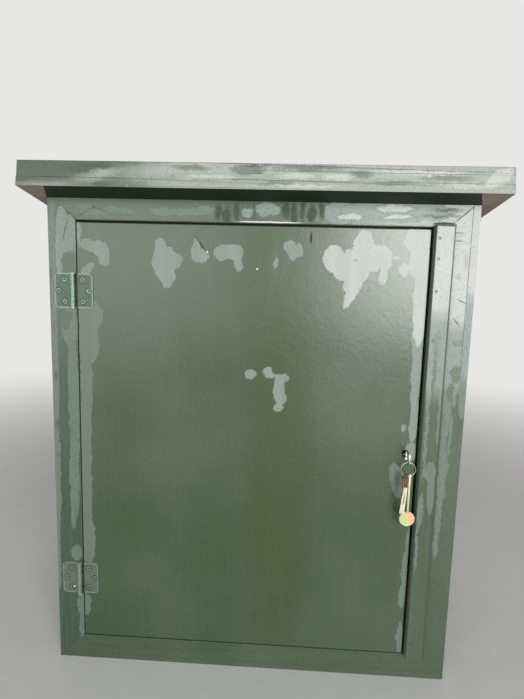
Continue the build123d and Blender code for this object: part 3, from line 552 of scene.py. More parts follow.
TOP_RAIL_FILM = Film(
    "top_rail_film",
    faint=(
        (-256.1, 720.3, 12.6, 3.2), (-114.6, 715.6, 34.9, 4.5), (-238.5, 713.5, 23.7, 4.5, 3),
        (-202.3, 716.3, 23.5, 3.9, -12), (-139.4, 715.8, 18.2, 5.9), (-78.4, 719, 20.2, 5.6),
    ),
    pale=(
        (-17.2, 716, 7.9, 6.4), (10.5, 721.4, 19.3, 9.7), (114.2, 717.2, 22.5, 16.5),
        (156.1, 719.4, 41.9, 13.7), (204.9, 720.3, 41.6, 13.7), (246.3, 722.5, 27.6, 12.3),
    ),
    white=(
        (128.4, 713.3, 16.9, 4.1), (190.7, 725.5, 25, 4.1), (195.5, 714.7, 19.5, 2.7),
        (282.8, 731.3, 21.9, 4.1), (305.6, 720.9, 12.3, 29.9),
    ),
    dark=(
        (-59.6, 716.6, 5.8, 9.8), (-46.6, 712.7, 7.2, 11.2), (-32.3, 717.1, 4.3, 12.5),
        (-8.3, 719, 1.7, 12.5), (37.6, 721.2, 5.7, 12.4), (49.2, 715.9, 5.7, 15.2), (61.8, 720.3, 4.2, 16.6),
        (74.7, 716.4, 6.4, 12.4), (88.6, 720.8, 4.2, 11), (261.3, 724.8, 15.1, 2.5),
        (253.6, 717.2, 19.3, 1.9),
    ),
    lines=(
        (-255.5, 712.4, 14.8, 0.4, 30), (-228.1, 715.6, 14, 0.4, -20), (-278.7, 712.3, 11.9, 0.6, -43),
        # (260.2, 706.5) is painted shade above the cover strip's top end.
        (289.1, 721.1, 17.3, 0.8, 42), (-12, 702.1, 420, 0.8), (260.2, 706.5, 15.5, 2.1),
    ),
    # A painted highlight along the rail's lower arris.
    worn=((13.9, 703.8, 45.8, 1.1),),
)
RIGHT_STILE_FILM = Film(
    "right_stile_film",
    # The wide soft white and pale patches are painted glow of the window light at the top right.
    white=((293.7, 664.3, 83.1, 100.2),),
    pale=((296.7, 558.1, 70.7, 89.8),),
    faint=(
        (283.9, 446.8, 5.8, 54.4), (282.8, 393.4, 4.4, 40), (285.1, 334.3, 6.5, 50.3),
        (284.1, 267.4, 4.8, 25.8), (282.6, 226.7, 3.6, 22.9), (293.9, 457.7, 3.7, 13.5),
        (305.9, 281.4, 2.7, 8), (291.7, 401.4, 2.3, 33.8),
    ),
    dark=(
        (284.6, 691.8, 6.2, 1.4), (285.2, 701.4, 6.9, 1), (289.6, 680.8, 5.5, 1.1), (296.8, 538.5, 11.4, 5.3),
        (294.7, 493.6, 9.3, 13.4), (287.4, 466.5, 5, 15), (303.5, 526.3, 4.3, 11.7),
        (294.5, 654.6, 3.1, 11.2), (286.4, 633.4, 3.5, 4.9),
    ),
    lines=(
        (289.1, 721.1, 17.3, 0.8, 42), (292.7, 598.9, 6.5, 0.7, -25), (287.3, 569.3, 7.1, 0.7, -50),
        # (274.4, 372) is painted shade along the cover strip's right side.
        (282.5, 683.5, 6.9, 0.6), (282.3, 694.5, 6.1, 0.5), (274.4, 372, 0.7, 520), (299.4, 655, 0.5, 150),
    ),
)
STRIP_FILM = Film(
    "strip_film",
    # The wide soft white and pale patches are painted glow of the window light at the top right.
    white=((257.3, 653, 82.2, 74.3),),
    pale=((261.1, 565.1, 69.7, 102.4),),
    faint=(
        (271, 441.8, 3.7, 56.6), (253.2, 426.2, 2.3, 89.9), (262.7, 347.5, 8.7, 13.9),
        (266.2, 319.8, 5.8, 40.5), (252.3, 287.7, 4.7, 25.2), (250.5, 227, 2.2, 41.9),
    ),
    dark=((258.3, 546.5, 4.2, 12.9), (258.1, 503.2, 3.4, 43.7)),
    # Painted shade: dark bands along the strip's top end and right side.
    lines=((260.6, 703.4, 20, 1.8), (272.6, 372, 1.6, 460)),
)
LEFT_SIDE_FILM = Film(
    "left_side_film",
    faint=(
        (-303.7, 643, 9.1, 87.4), (-306, 493.5, 7.8, 92.3), (-307.3, 319.1, 6.4, 114.6),
        (-308.5, 168.1, 4, 51.8),
    ),
    dark=(
        (-308.1, 623.9, 2.3, 7.3), (-299.8, 672, 1.5, 3.6), (-305.4, 539.2, 1.8, 4.5),
        (-304.7, 468.8, 1.9, 6.2), (-304.4, 391.9, 1.9, 9.6), (-304.2, 343.7, 1.6, 4.9),
    ),
)
RIGHT_SIDE_FILM = Film(
    "right_side_film",
    # The wide soft white and pale patches are painted glow of the window light at the top right.
    white=((305.2, 692.2, 68.8, 85.3),),
    pale=((307.4, 565.6, 70.5, 80.8),),
    faint=((305.2, 470.1, 5.7, 44.9),),
    dark=((309.3, 626.9, 1.3, 2), (304.3, 585.6, 1.3, 2.9), (305.9, 532.2, 1.7, 3.2), (299.6, 660.3, 1.4, 2)),
)
BOTTOM_RAIL_FILM = Film(
    "bottom_rail_film",
    faint=((25.2, 3, 16.2, 1.1), (-38.5, 66.4, 1.6, 1.8)),
    dark=((86.8, 21.1, 2.1, 1.9),),
)
FASCIA_FILM = Film(
    "fascia_film",
    shade=((10.1, 757.7, 381.5, 35.4),),
    # The wide first pale patch, lighter across the middle and right, is painted reflection of the window
    # light.
    pale=((119.8, 755.6, 305.4, 32.7), (-283.6, 740.7, 30.3, 2.6), (-212, 755.5, 32.7, 5.8, 12)),
    white=(
        (-66.6, 753.9, 40, 3.8), (49.5, 757, 28.8, 4), (104.2, 756.6, 20.8, 4.3), (209.3, 764.5, 63.7, 3.7),
        (311, 758.6, 20.1, 9.9, 35), (274.1, 748.1, 43, 3.2), (-267.8, 739.1, 1.5, 1.2),
        (-175.3, 740.1, 1.5, 1), (55.2, 744.4, 65.5, 2.5),
    ),
    faint=(
        (-15.1, 764.9, 22.4, 5.8), (67.3, 768.6, 39, 3.3), (-90.7, 766.3, 21.3, 3), (-174.1, 743.2, 19, 3.4),
        (135.1, 760.8, 12.9, 3.8), (247.9, 757.6, 27.9, 2.7), (178.2, 750.3, 20.5, 2.3),
        (22.2, 747.1, 18.4, 2.3),
    ),
    dark=(
        (-239.1, 763.8, 15, 6.4), (-215.9, 766.6, 23.1, 3.3), (-319.9, 749, 8.3, 2.6),
        (-211.6, 742.6, 9.5, 4.1), (-3.4, 770.3, 19.7, 1.5),
    ),
    lines=(
        (-144.4, 749.6, 121.4, 0.4, -1), (81.1, 750.4, 182.5, 0.5, -1), (234.8, 763, 95.2, 0.4),
        (67.5, 764.1, 54.7, 0.4), (-57.1, 740.8, 80, 0.4), (-1.8, 760, 10.5, 0.6, 3),
        (9.7, 772, 341, 0.6, -1.2),
    ),
)


class Surface(Wiring):
    """A material being built, with its shader and its coordinates."""

    def __init__(self, name: str) -> None:
        """Makes the material with its Principled BSDF.

        Args:
            name: The material's name.
        """
        self.material = bpy.data.materials.new(name)
        self.material.use_nodes = True
        self.material.node_tree.nodes.clear()
        super().__init__(self.material.node_tree)
        self.shader = self.place("BsdfPrincipled")
        self.place("OutputMaterial", {"Surface": self.shader.outputs[0]})
        coordinates = self.place("TexCoord").outputs
        self.here, self.normal = coordinates["Object"], coordinates["Normal"]

    def effect(self, name: str, **inputs: object) -> NodeOutputs:
        """Places a shared effect on this surface, with its other inputs, and gives its outputs."""
        return EFFECTS.use(self, name, {"Place": self.here, **inputs})

    def give(self, colour: NodeSocket, rough: Value, **others: Value) -> None:
        """Gives the shader its values.

        Args:
            colour: The base colour.
            rough: The roughness.
            others: Other inputs by name, with _ for a space.
        """
        self.feed(self.shader.inputs["Base Color"], colour)
        self.feed(self.shader.inputs["Roughness"], rough)
        for label, value in others.items():
            self.feed(self.shader.inputs[label.replace("_", " ")], value)

    def raise_by(self, height: NodeSocket, strength: float, distance: float) -> None:
        """Gives the shader a bump.

        Args:
            height: The height, from 0 to 1.
            strength: How strong the bump is.
            distance: The full height, in millimetres.
        """
        inputs = {"Strength": strength, "Distance": distance * MM, "Height": height}
        self.feed(self.shader.inputs["Normal"], self.place("Bump", inputs).outputs[0])


class Finish:
    """What every finish shares: a name, and the making of its material."""

    name: str

    def paint(self, surface: Surface) -> None:
        """Wires the finish's look into the material being built."""
        raise NotImplementedError

    def build(self) -> Material:
        """Builds the finish's material.

        Returns:
            The material.
        """
        surface = Surface(self.name)
        self.paint(surface)
        return surface.material


@dataclass
class Coat:
    """A coat of paint so far: its colour, where it is worn or matt, its roughness and its gloss."""

    colour: NodeSocket
    lost: NodeSocket
    matt: Value = 0.0
    rough: Value = 0.0
    gloss: Value = 0.0


@dataclass(frozen=True)
class GreenGloss(Finish):
    """Dark green gloss, brushed on by hand, with pale patches where the film has lifted or worn, and on some
    boards painted glow, highlights and shade.
    """

    name: str
    brushing: Brushing
    film: Film | None = None
    wear: tuple[tuple[str, PatchLook], ...] = USUAL_WEAR
    deep: Colour = (0.031, 0.062, 0.021)
    green: Colour = (0.053, 0.087, 0.046)
    streak: Colour = (0.080, 0.117, 0.083)
    pale: Colour = (0.215, 0.268, 0.235)
    # Painted shade: the near-black green laid on the roof's downward faces.
    under: Colour = (0.004, 0.013, 0.003)
    bare: tuple[Colour, Colour] = ((0.36, 0.27, 0.225), (0.24, 0.175, 0.145))
    blotches: float = 0.5
    bristles: float = 1.0
    grit: float = 1.0
    side_pale: float = 0.0
    sheen: Span = (0.29, 0.36)
    worn_roughness: float = 0.2
    matt_roughness: float = 0.55
    gloss: float = 0.35
    worn_gloss: float = 0.3
    gloss_roughness: float = 0.22
    uneven: float = 0.14
    outline: Span = (1.8, 0.6)
    outline_tone: float = 0.2
    streak_tone: float = 0.2
    ridge_tone: float = 0.26
    grit_tones: Span = (0.14, 0.5)
    fleck_tone: float = 0.4
    ridge_height: float = 0.6
    grit_height: float = 0.9
    front_facing: float = -0.6
    under_facing: float = -0.7
    underside_shade_and_bare: bool = False
    body_front: float = -0.15
    bare_edge: float = 0.3105
    bare_lean: float = 0.42

    RAGGED: ClassVar[dict[str, float]] = {"Wander": 11.5, "Fray": 6.0}
    NEAT: ClassVar[dict[str, float]] = {"Wander": 1.5, "Fray": 0.6}

    def paint(self, surface: Surface) -> None:
        """Lays the brushed coat, its wear and painted light and shade, and its grit.

        Args:
            surface: The material being built.
        """
        marks = surface.effect("brush_marks", Spacing=self.brushing.value)
        clouds = surface.effect("cloudiness", Scale=5.5)
        flecks = surface.effect("specks", Scale=55.0, Size=0.045)["Mask"]
        facing = surface.split(surface.normal)
        front = surface.number("LESS_THAN", facing["Y"], self.front_facing)
        ridges, grit = marks["Ridges"], marks["Grit"]
        worn = surface.times(clouds["Blotch"], surface.number("SUBTRACT", self.blotches, front))
        worn = surface.times(surface.number("MAXIMUM", worn, 0.0), 0.5)
        brushed = surface.over(
            self.deep,
            (clouds["Cloud"], self.green),
            (surface.times(marks["Streaks"], self.streak_tone * self.bristles), self.streak),
            (surface.span(ridges, 0.42, 0.62, 0.0, self.ridge_tone * self.bristles), self.streak),
            (worn, self.pale),
            # Painted light: faces turned to the left are made paler so the cover strip's side reads as lit.
            (surface.span(facing["X"], -0.5, -0.9, 0.0, self.side_pale), self.pale),
        )
        coat = Coat(brushed, worn)
        if self.film:
            self.age(surface, front, marks["Streaks"], coat)
        high, low = (tone * self.grit for tone in self.grit_tones)
        coat.colour = surface.over(
            coat.colour,
            (surface.span(grit, 0.5, 0.7, 0.0, high), self.pale),
            (surface.span(grit, 0.5, 0.3, 0.0, low), self.deep),
            (surface.times(flecks, self.fleck_tone), self.pale),
        )
        rough = surface.within(clouds["Cloud"], *self.sheen)
        rough = surface.scaled(coat.lost, self.worn_roughness, rough)
        coat.rough = surface.scaled(coat.matt, self.matt_roughness, rough)
        gloss = surface.scaled(coat.lost, -self.worn_gloss, self.gloss)
        coat.gloss = surface.times(gloss, surface.rest(coat.matt))
        if self.underside_shade_and_bare:
            self.shade_underside_leave_bare(surface, facing["Z"], coat)
        surface.give(coat.colour, coat.rough, Coat_Weight=coat.gloss, Coat_Roughness=self.gloss_roughness)
        height = surface.scaled(ridges, self.ridge_height * self.bristles, marks["Ripple"])
        height = surface.scaled(grit, self.grit_height * self.grit, height)
        surface.raise_by(height, strength=0.45, distance=0.5)

    def age(self, surface: Surface, front: NodeSocket, streaks: NodeSocket, coat: Coat) -> None:
        """Lays the film's patches over the paint, kind by kind.

        Args:
            surface: The material being built.
            front: Where the board faces the front.
            streaks: The brush's wide streaks, which show through a patch.
            coat: The coat so far, which is changed.
        """
        ragged, neat = (
            surface.effect("ragged_place", **edge)["Millimetres"] for edge in (self.RAGGED, self.NEAT)
        )
        for kind, wear in self.wear:
            distance = self.film.distance(surface, kind, neat if wear.neat else ragged)
            if distance is None:
                continue
            if wear.chalky:
                outline = surface.times(surface.span(distance, *self.outline), front)
                coat.colour = surface.blend(surface.times(outline, self.outline_tone), coat.colour, self.deep)
            mask = surface.times(surface.span(distance, wear.soft, -wear.soft), front)
            mask = surface.times(mask, surface.within(streaks, wear.cover - self.uneven, wear.cover))
            coat.colour = surface.blend(mask, coat.colour, wear.tint)
            if wear.matt:
                coat.matt = surface.number("MAXIMUM", coat.matt, mask)
            if wear.chalky:
                coat.lost = surface.number("MAXIMUM", coat.lost, mask)
            else:
                coat.lost = surface.times(coat.lost, surface.rest(mask))

    def shade_underside_leave_bare(self, surface: Surface, upward: NodeSocket, coat: Coat) -> None:
        """Darkens the roof's underside with painted shade, and leaves it bare outside the body's sides.

        Args:
            surface: The material being built.
            upward: How far the surface faces up.
            coat: The coat so far, which is changed.
        """
        place = surface.split(surface.here)
        ahead = surface.number("MAXIMUM", surface.number("SUBTRACT", self.body_front, place["Y"]), 0.0)
        border = surface.scaled(ahead, -self.bare_lean, self.bare_edge)
        outside = surface.number("GREATER_THAN", surface.number("ABSOLUTE", place["X"]), border)
        under = surface.number("LESS_THAN", upward, self.under_facing)
        grain = surface.effect("timber_grain", Spacing=Brushing.LEVEL.value)["Grain"]
        timber = surface.blend(grain, *self.bare)
        # The first layer is painted shade on every downward face; the second lays bare timber outside the
        # body's sides.
        for mask, tint, rough in ((under, self.under, 0.7), (surface.times(outside, under), timber, 0.8)):
            coat.colour = surface.blend(mask, coat.colour, tint)
            coat.rough = surface.number("MAXIMUM", coat.rough, surface.times(mask, rough))
            coat.gloss = surface.times(coat.gloss, surface.rest(mask))


@dataclass(frozen=True)
class HingePaint(Finish):
    """Green paint over a steel hinge; painted highlights on arrises and knuckle, painted shade round screws.
    In mm.
    """

    name: str = "hinge_paint"
    low: Colour = (0.040, 0.078, 0.048)
    high: Colour = (0.066, 0.112, 0.076)
    # bright is the painted highlight colour, dark the painted shade colour.
    bright: Colour = (0.235, 0.345, 0.275)
    dark: Colour = (0.010, 0.020, 0.012)
    white: Colour = (0.55, 0.58, 0.54)
    chalk: Colour = (0.125, 0.145, 0.110)
    sheen: Span = (0.3, 0.42)
    pivot: float = -272.7
    heights: Span = (141.3, 598.9)
    half_height: float = 25.7
    leaf: float = 28.5
    corner: float = 4.0
    between: Span = (300.0, 400.0)
    # Where the painted highlights and shade lie, in mm from the leaf's edge, the knuckle and the screws.
    arris_highlight: Span = (-1.9, -1.2)
    knuckle: Span = (3.4, 1.6)
    knuckle_gap_shade: tuple[Span, Span] = ((3.4, 4.0), (6.8, 6.0))
    screw: float = 5.4
    screw_places: tuple[Span, ...] = ((13.7, 16.2), (22.7, 0.0), (13.7, -16.2))
    ring: tuple[Span, Span] = ((0.1, -0.4), (-2.0, -1.4))
    head: Span = (-1.5, -2.1)
    recess_shade: Span = (-3.7, -4.1)
    spots: tuple[Ellipse, ...] = ((-283.2, 125.8, 1.9, 1.7),)
    spot_edge: Span = (0.3, -0.3)

    def screws(self) -> tuple[Ellipse, ...]:
        """Gives the place of each hinge screw.

        Returns:
            A disc for each screw.
        """
        return tuple(
            (self.pivot + side * across, height + up, self.screw, self.screw)
            for height in self.heights
            for side in (-1, 1)
            for across, up in self.screw_places
        )

    def paint(self, surface: Surface) -> None:
        """Lays the coat, then painted highlights and shade on the leaf's edge, knuckle and screws, and a
        dropped spot.

        Args:
            surface: The material being built.
        """
        cloud = surface.effect("cloudiness", Scale=42.0)["Cloud"]
        patchy = surface.effect("metal_wear", Scale=260.0)["Tarnish"]
        ragged = surface.effect("ragged_place", Wander=1.2, Fray=0.8)["Millimetres"]
        place = surface.split(ragged)
        across = surface.number("SUBTRACT", place["X"], self.pivot)
        aside = surface.number("ABSOLUTE", across)
        rise = surface.number("MINIMUM", *(surface.apart(place["Z"], height) for height in self.heights))
        # Share of the painted highlights by height: full on the upper hinge, less on the lower, where chalk
        # shows instead.
        highlight_by_height = surface.span(place["Z"], *self.between, 0.55, 1.0)
        beside = surface.number("SUBTRACT", aside, self.leaf)
        above = surface.number("SUBTRACT", rise, self.half_height)
        outer = surface.number("SMOOTH_MAX", beside, above, self.corner)
        marks = Film(self.name, pale=self.screws(), white=self.spots)
        screw = marks.distance(surface, "pale", ragged)
        spot = marks.distance(surface, "white", ragged)

        def shown(mask: NodeSocket, *unevenness: float) -> NodeSocket:
            """Lets a mask show unevenly: its span over the patches, and how much shows at either end."""
            return surface.times(mask, surface.span(patchy, *unevenness))

        knuckle_gap_shade, ring = (
            surface.times(surface.span(value, *start), surface.span(value, *end))
            for value, (start, end) in ((across, self.knuckle_gap_shade), (screw, self.ring))
        )
        ring = shown(ring, 0.0, 1.0, 0.95, 0.65)
        knuckle = shown(surface.span(aside, *self.knuckle), 0.0, 1.0, 0.95, 0.6)
        head = shown(surface.span(screw, *self.head), 0.2, 0.8, 0.75, 0.25)
        # Bright on arrises, knuckle and screw heads is painted highlight; dark beside the knuckle, round
        # screws and in recesses is painted shade.
        colour = surface.over(
            self.low,
            (cloud, self.high),
            (surface.span(highlight_by_height, 1.0, 0.55, 0.0, 0.5), self.chalk),
            (surface.times(surface.span(outer, *self.arris_highlight, 0.0, 0.85), highlight_by_height), self.bright),
            (surface.times(knuckle, highlight_by_height), self.bright),
            (shown(knuckle_gap_shade, 0.1, 0.9, 0.95, 0.35), self.dark),
            (ring, self.dark),
            (surface.times(head, highlight_by_height), self.bright),
            (surface.span(screw, *self.recess_shade, 0.0, 0.9), self.dark),
            (surface.span(spot, *self.spot_edge), self.white),
        )
        surface.give(colour, surface.within(cloud, *self.sheen), Coat_Weight=0.2)
        surface.raise_by(surface.scaled(ring, -0.8, patchy), strength=0.5, distance=0.4)


@dataclass(frozen=True)
class HeadPaint(Finish):
    """Nail heads: grey where they show, and painted over lower down."""

    name: str = "nail_heads"
    grey: Colour = (0.15, 0.16, 0.15)
    green: Colour = (0.045, 0.080, 0.043)
    height: float = 0.53
    change: float = 0.02
    sheen: Span = (0.4, 0.6)

    def paint(self, surface: Surface) -> None:
        """Changes from green to grey at a height.

        Args:
            surface: The material being built.
        """
        wear = surface.effect("metal_wear", Scale=600.0)
        shown = surface.span(surface.split(surface.here)["Z"], self.height, self.height + self.change)
        colour = surface.blend(shown, self.green, self.grey)
        surface.give(colour, surface.within(wear["Tarnish"], *self.sheen))
        surface.raise_by(wear["Scratches"], strength=0.2, distance=0.05)


@dataclass(frozen=True)
class BareTimber(Finish):
    """Sawn softwood, left bare inside the cabinet."""

    name: str
    along: Brushing
    late: Colour = (0.30, 0.19, 0.10)
    early: Colour = (0.50, 0.36, 0.22)
    pore: Colour = (0.16, 0.095, 0.05)
    soiled: Colour = (0.26, 0.20, 0.14)
    sheen: Span = (0.68, 0.85)

    def paint(self, surface: Surface) -> None:
        """Draws the grain, its pores and some soiling.

        Args:
            surface: The material being built.
        """
        grain = surface.effect("timber_grain", Spacing=self.along.value)
        cloud = surface.effect("cloudiness", Scale=12.0)["Cloud"]
        pores, dirt = surface.times(grain["Pores"], 0.4), surface.times(cloud, 0.25)
        colour = surface.over(self.early, (grain["Grain"], self.late), (pores, self.pore), (dirt, self.soiled))
        surface.give(colour, surface.within(grain["Pores"], *self.sheen))
        surface.raise_by(grain["Pores"], strength=0.4, distance=-0.4)


@dataclass(frozen=True)
class Steel(Finish):
    """Handled or plated steel."""

    name: str
    bright: Colour
    dull: Colour
    sheen: Span
    scale: float

    def paint(self, surface: Surface) -> None:
        """Dulls and scratches the metal.

        Args:
            surface: The material being built.
        """
        wear = surface.effect("metal_wear", Scale=self.scale)
        colour = surface.blend(wear["Tarnish"], self.bright, self.dull)
        surface.give(colour, surface.within(wear["Tarnish"], *self.sheen), Metallic=1.0)
        surface.raise_by(wear["Scratches"], strength=0.3, distance=0.05)


@dataclass(frozen=True)
class KeySteel(Finish):
    """The key's steel: dark on its flats, and bright along its edges, partly edge wear and partly painted
    highlight.
    """

    name: str = "key_finish"
    bright: Colour = (0.86, 0.84, 0.80)
    flat: Colour = (0.16, 0.15, 0.13)
    dull: Colour = (0.07, 0.064, 0.056)
    sheen: Span = (0.46, 0.24)

    def paint(self, surface: Surface) -> None:
        """Brightens what doesn't face sideways, as painted highlight over edge wear.

        Args:
            surface: The material being built.
        """
        wear = surface.effect("metal_wear", Scale=420.0)
        turned = surface.number("ABSOLUTE", surface.split(surface.normal)["X"])
        worn = surface.within(wear["Tarnish"], 1.0, 0.45)
        # Painted highlight with edge wear: faces not turned sideways take the bright colour.
        edge = surface.times(surface.span(turned, 0.93, 0.55), worn)
        flat = surface.blend(wear["Tarnish"], self.flat, self.dull)
        colour = surface.blend(edge, flat, self.bright)
        surface.give(colour, surface.within(edge, *self.sheen), Metallic=1.0)
        surface.raise_by(wear["Scratches"], strength=0.35, distance=0.06)


@dataclass(frozen=True)
class Leather(Finish):
    """Reddish-brown leather with a fine grain."""

    name: str = "tab_leather_finish"
    clean: Colour = (0.20, 0.056, 0.032)
    handled: Colour = (0.105, 0.027, 0.016)
    creased: Colour = (0.07, 0.018, 0.010)
    sheen: Span = (0.42, 0.6)
    pebble: float = 1500.0

    def paint(self, surface: Surface) -> None:
        """Creases and darkens the leather.

        Args:
            surface: The material being built.
        """
        sockets = {"Vector": surface.here, "Scale": self.pebble, "Randomness": 1.0}
        grain = surface.place("TexVoronoi", sockets, feature="DISTANCE_TO_EDGE")
        crease = surface.span(grain.outputs["Distance"], 0.0, 0.12)
        tarnish = surface.effect("metal_wear", Scale=260.0)["Tarnish"]
        colour = surface.blend(crease, self.creased, surface.blend(tarnish, self.clean, self.handled))
        surface.give(colour, surface.within(tarnish, *self.sheen))
        surface.raise_by(crease, strength=0.5, distance=0.12)


@dataclass(frozen=True)
class Woven(Finish):
    """A narrow woven ribbon or a sewing thread, cream, and faded pink at one tip."""

    name: str
    base: Colour = (0.72, 0.66, 0.52)
    tip: Colour = (0.66, 0.43, 0.35)
    soiled: Colour = (0.50, 0.44, 0.33)
    gap: Colour = (0.30, 0.26, 0.19)
    sheen: Span = (0.78, 0.92)
    tip_across: float = 0.2234
    tip_height: float = 0.2925
    warp: float = 16000.0
    weft: float = 13000.0

    def paint(self, surface: Surface) -> None:
        """Weaves, soils and fades the cloth.

        Args:
            surface: The material being built.
        """
        place = surface.split(surface.here)
        warp, weft = (
            surface.number("SINE", surface.times(place[axis], threads))
            for axis, threads in (("X", self.warp), ("Z", self.weft))
        )
        weave = surface.span(surface.times(warp, weft), -0.9, 0.9)
        tarnish = surface.effect("metal_wear", Scale=300.0)["Tarnish"]
        low = surface.span(place["Z"], self.tip_height, self.tip_height - 5 * MM)
        left = surface.span(place["X"], self.tip_across + 0.6 * MM, self.tip_across - 0.2 * MM)
        colour = surface.over(
            self.base,
            (surface.times(tarnish, 0.4), self.soiled),
            (surface.times(low, left), self.tip),
            (surface.times(weave, 0.22), self.gap),
        )
        surface.give(colour, surface.within(weave, *self.sheen))
        surface.raise_by(weave, strength=0.5, distance=-0.12)


@dataclass(frozen=True)
class TintedPlastic(Finish):
    """Moulded plastic whose colour changes twice along a direction, each time between two stops."""

    name: str
    tints: tuple[Colour, Colour, Colour]
    direction: tuple[float, float, float]
    stops: tuple[float, float, float, float]
    dirt: Colour = (0.16, 0.15, 0.08)
    sheen: Span = (0.28, 0.44)

    def paint(self, surface: Surface) -> None:
        """Runs the colours into each other, and soils them.

        Args:
            surface: The material being built.
        """
        along = surface.vector("DOT_PRODUCT", surface.here, self.direction)
        wear = surface.effect("metal_wear", Scale=350.0)
        tarnish = wear["Tarnish"]
        wander = surface.scaled(tarnish, 1.2 * MM, along)
        first, second, third = self.tints
        early, late = surface.span(wander, *self.stops[:2]), surface.span(wander, *self.stops[2:])
        dirt = surface.times(tarnish, 0.22)
        colour = surface.over(first, (early, second), (late, third), (dirt, self.dirt))
        surface.give(colour, surface.within(tarnish, *self.sheen), Specular_IOR_Level=0.45)
        surface.raise_by(wear["Scratches"], strength=0.2, distance=0.04)


def dress(nodes: dict[str, Object], finish: Finish, *names: str) -> None:
    """Gives CAD nodes a finish.

    Args:
        nodes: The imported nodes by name.
        finish: Their finish.
        names: The nodes.
    """
    material = finish.build()
    for name in names:
        mesh = nodes[name].data
        mesh.materials.clear()
        mesh.materials.append(material)
    LOG.info("%s dresses %s", material.name, ", ".join(names))


def piece_from(bm: BMesh, name: str, material: Material, smooth: bool = True) -> Object:
    """Makes an object from a finished bmesh.

    Args:
        bm: The shape in metres, in the cabinet's own frame.
        name: The piece's name.
        material: Its finish.
        smooth: Whether its faces are shaded smooth.

    Returns:
        The object.
    """
    bmesh.ops.remove_doubles(bm, verts=bm.verts[:], dist=SAME / 10)
    bmesh.ops.recalc_face_normals(bm, faces=bm.faces[:])
    mesh = bpy.data.meshes.new(name)
    bm.to_mesh(mesh)
    bm.free()
    for polygon in mesh.polygons:
        polygon.use_smooth = smooth
    mesh.materials.append(material)
    piece = bpy.data.objects.new(name, mesh)
    bpy.context.scene.collection.objects.link(piece)
    LOG.info("%s made in %s", name, material.name)
    return piece


def edge_line(bm: BMesh, centre: Vector, half: float, steps: int) -> list[BMEdge]:
    """Starts a band with one straight row of edges along X.

    Args:
        bm: The bmesh to add to.
        centre: The middle of the row.
        half: Half its length.
        steps: How many edges it has.

    Returns:
        The edges.
    """
    side = Vector((half, 0, 0))
    points = [bm.verts.new((centre - side).lerp(centre + side, i / steps)) for i in range(steps + 1)]
    return [bm.edges.new(pair) for pair in zip(points, points[1:])]


def pull_band(bm: BMesh, edges: list[BMEdge], move: Vector) -> list[BMEdge]:
    """Lengthens a band by one row.

    Args:
        bm: The bmesh.
        edges: The band's last row.
        move: How far the new row lies from it.

    Returns:
        The new row.
    """
    grown = bmesh.ops.extrude_edge_only(bm, edges=edges)["geom"]
    bmesh.ops.translate(bm, verts=[g for g in grown if isinstance(g, BMVert)], vec=move)
    return [g for g in grown if isinstance(g, BMEdge)]


def turn_band(bm: BMesh, edges: list[BMEdge], centre: Vector, angle: float, steps: int) -> list[BMEdge]:
    """Carries a band round a wire that lies across it.

    Args:
        bm: The bmesh.
        edges: The band's last row.
        centre: A point on the wire.
        angle: How far it goes round, in radians about +X.
        steps: In how many rows.

    Returns:
        The last row.
    """
    ends = dict.fromkeys(v for e in edges for v in e.verts)
    turn = {"cent": centre, "axis": (1, 0, 0), "dvec": (0, 0, 0), "angle": angle, "steps": steps}
    spun = bmesh.ops.spin(bm, geom=[*ends, *edges], **turn)
    return [g for g in spun["geom_last"] if isinstance(g, BMEdge)]


def thicken(piece: Object, thickness: float, rounding: float, segments: int = 3) -> None:
    """Gives a band its thickness, centred on its surface, and rounds its edges.

    Args:
        piece: The band.
        thickness: Its thickness in metres.
        rounding: The radius of its edges in metres.
        segments: How many faces the rounding has.
    """
    solid = piece.modifiers.new("thickness", "SOLIDIFY")
    solid.thickness = thickness
    solid.offset = 0.0
    solid.use_even_offset = True
    bevel = piece.modifiers.new("rounding", "BEVEL")
    bevel.width = rounding
    bevel.segments = segments
    bevel.limit_method = "ANGLE"
    bevel.angle_limit = SHARP


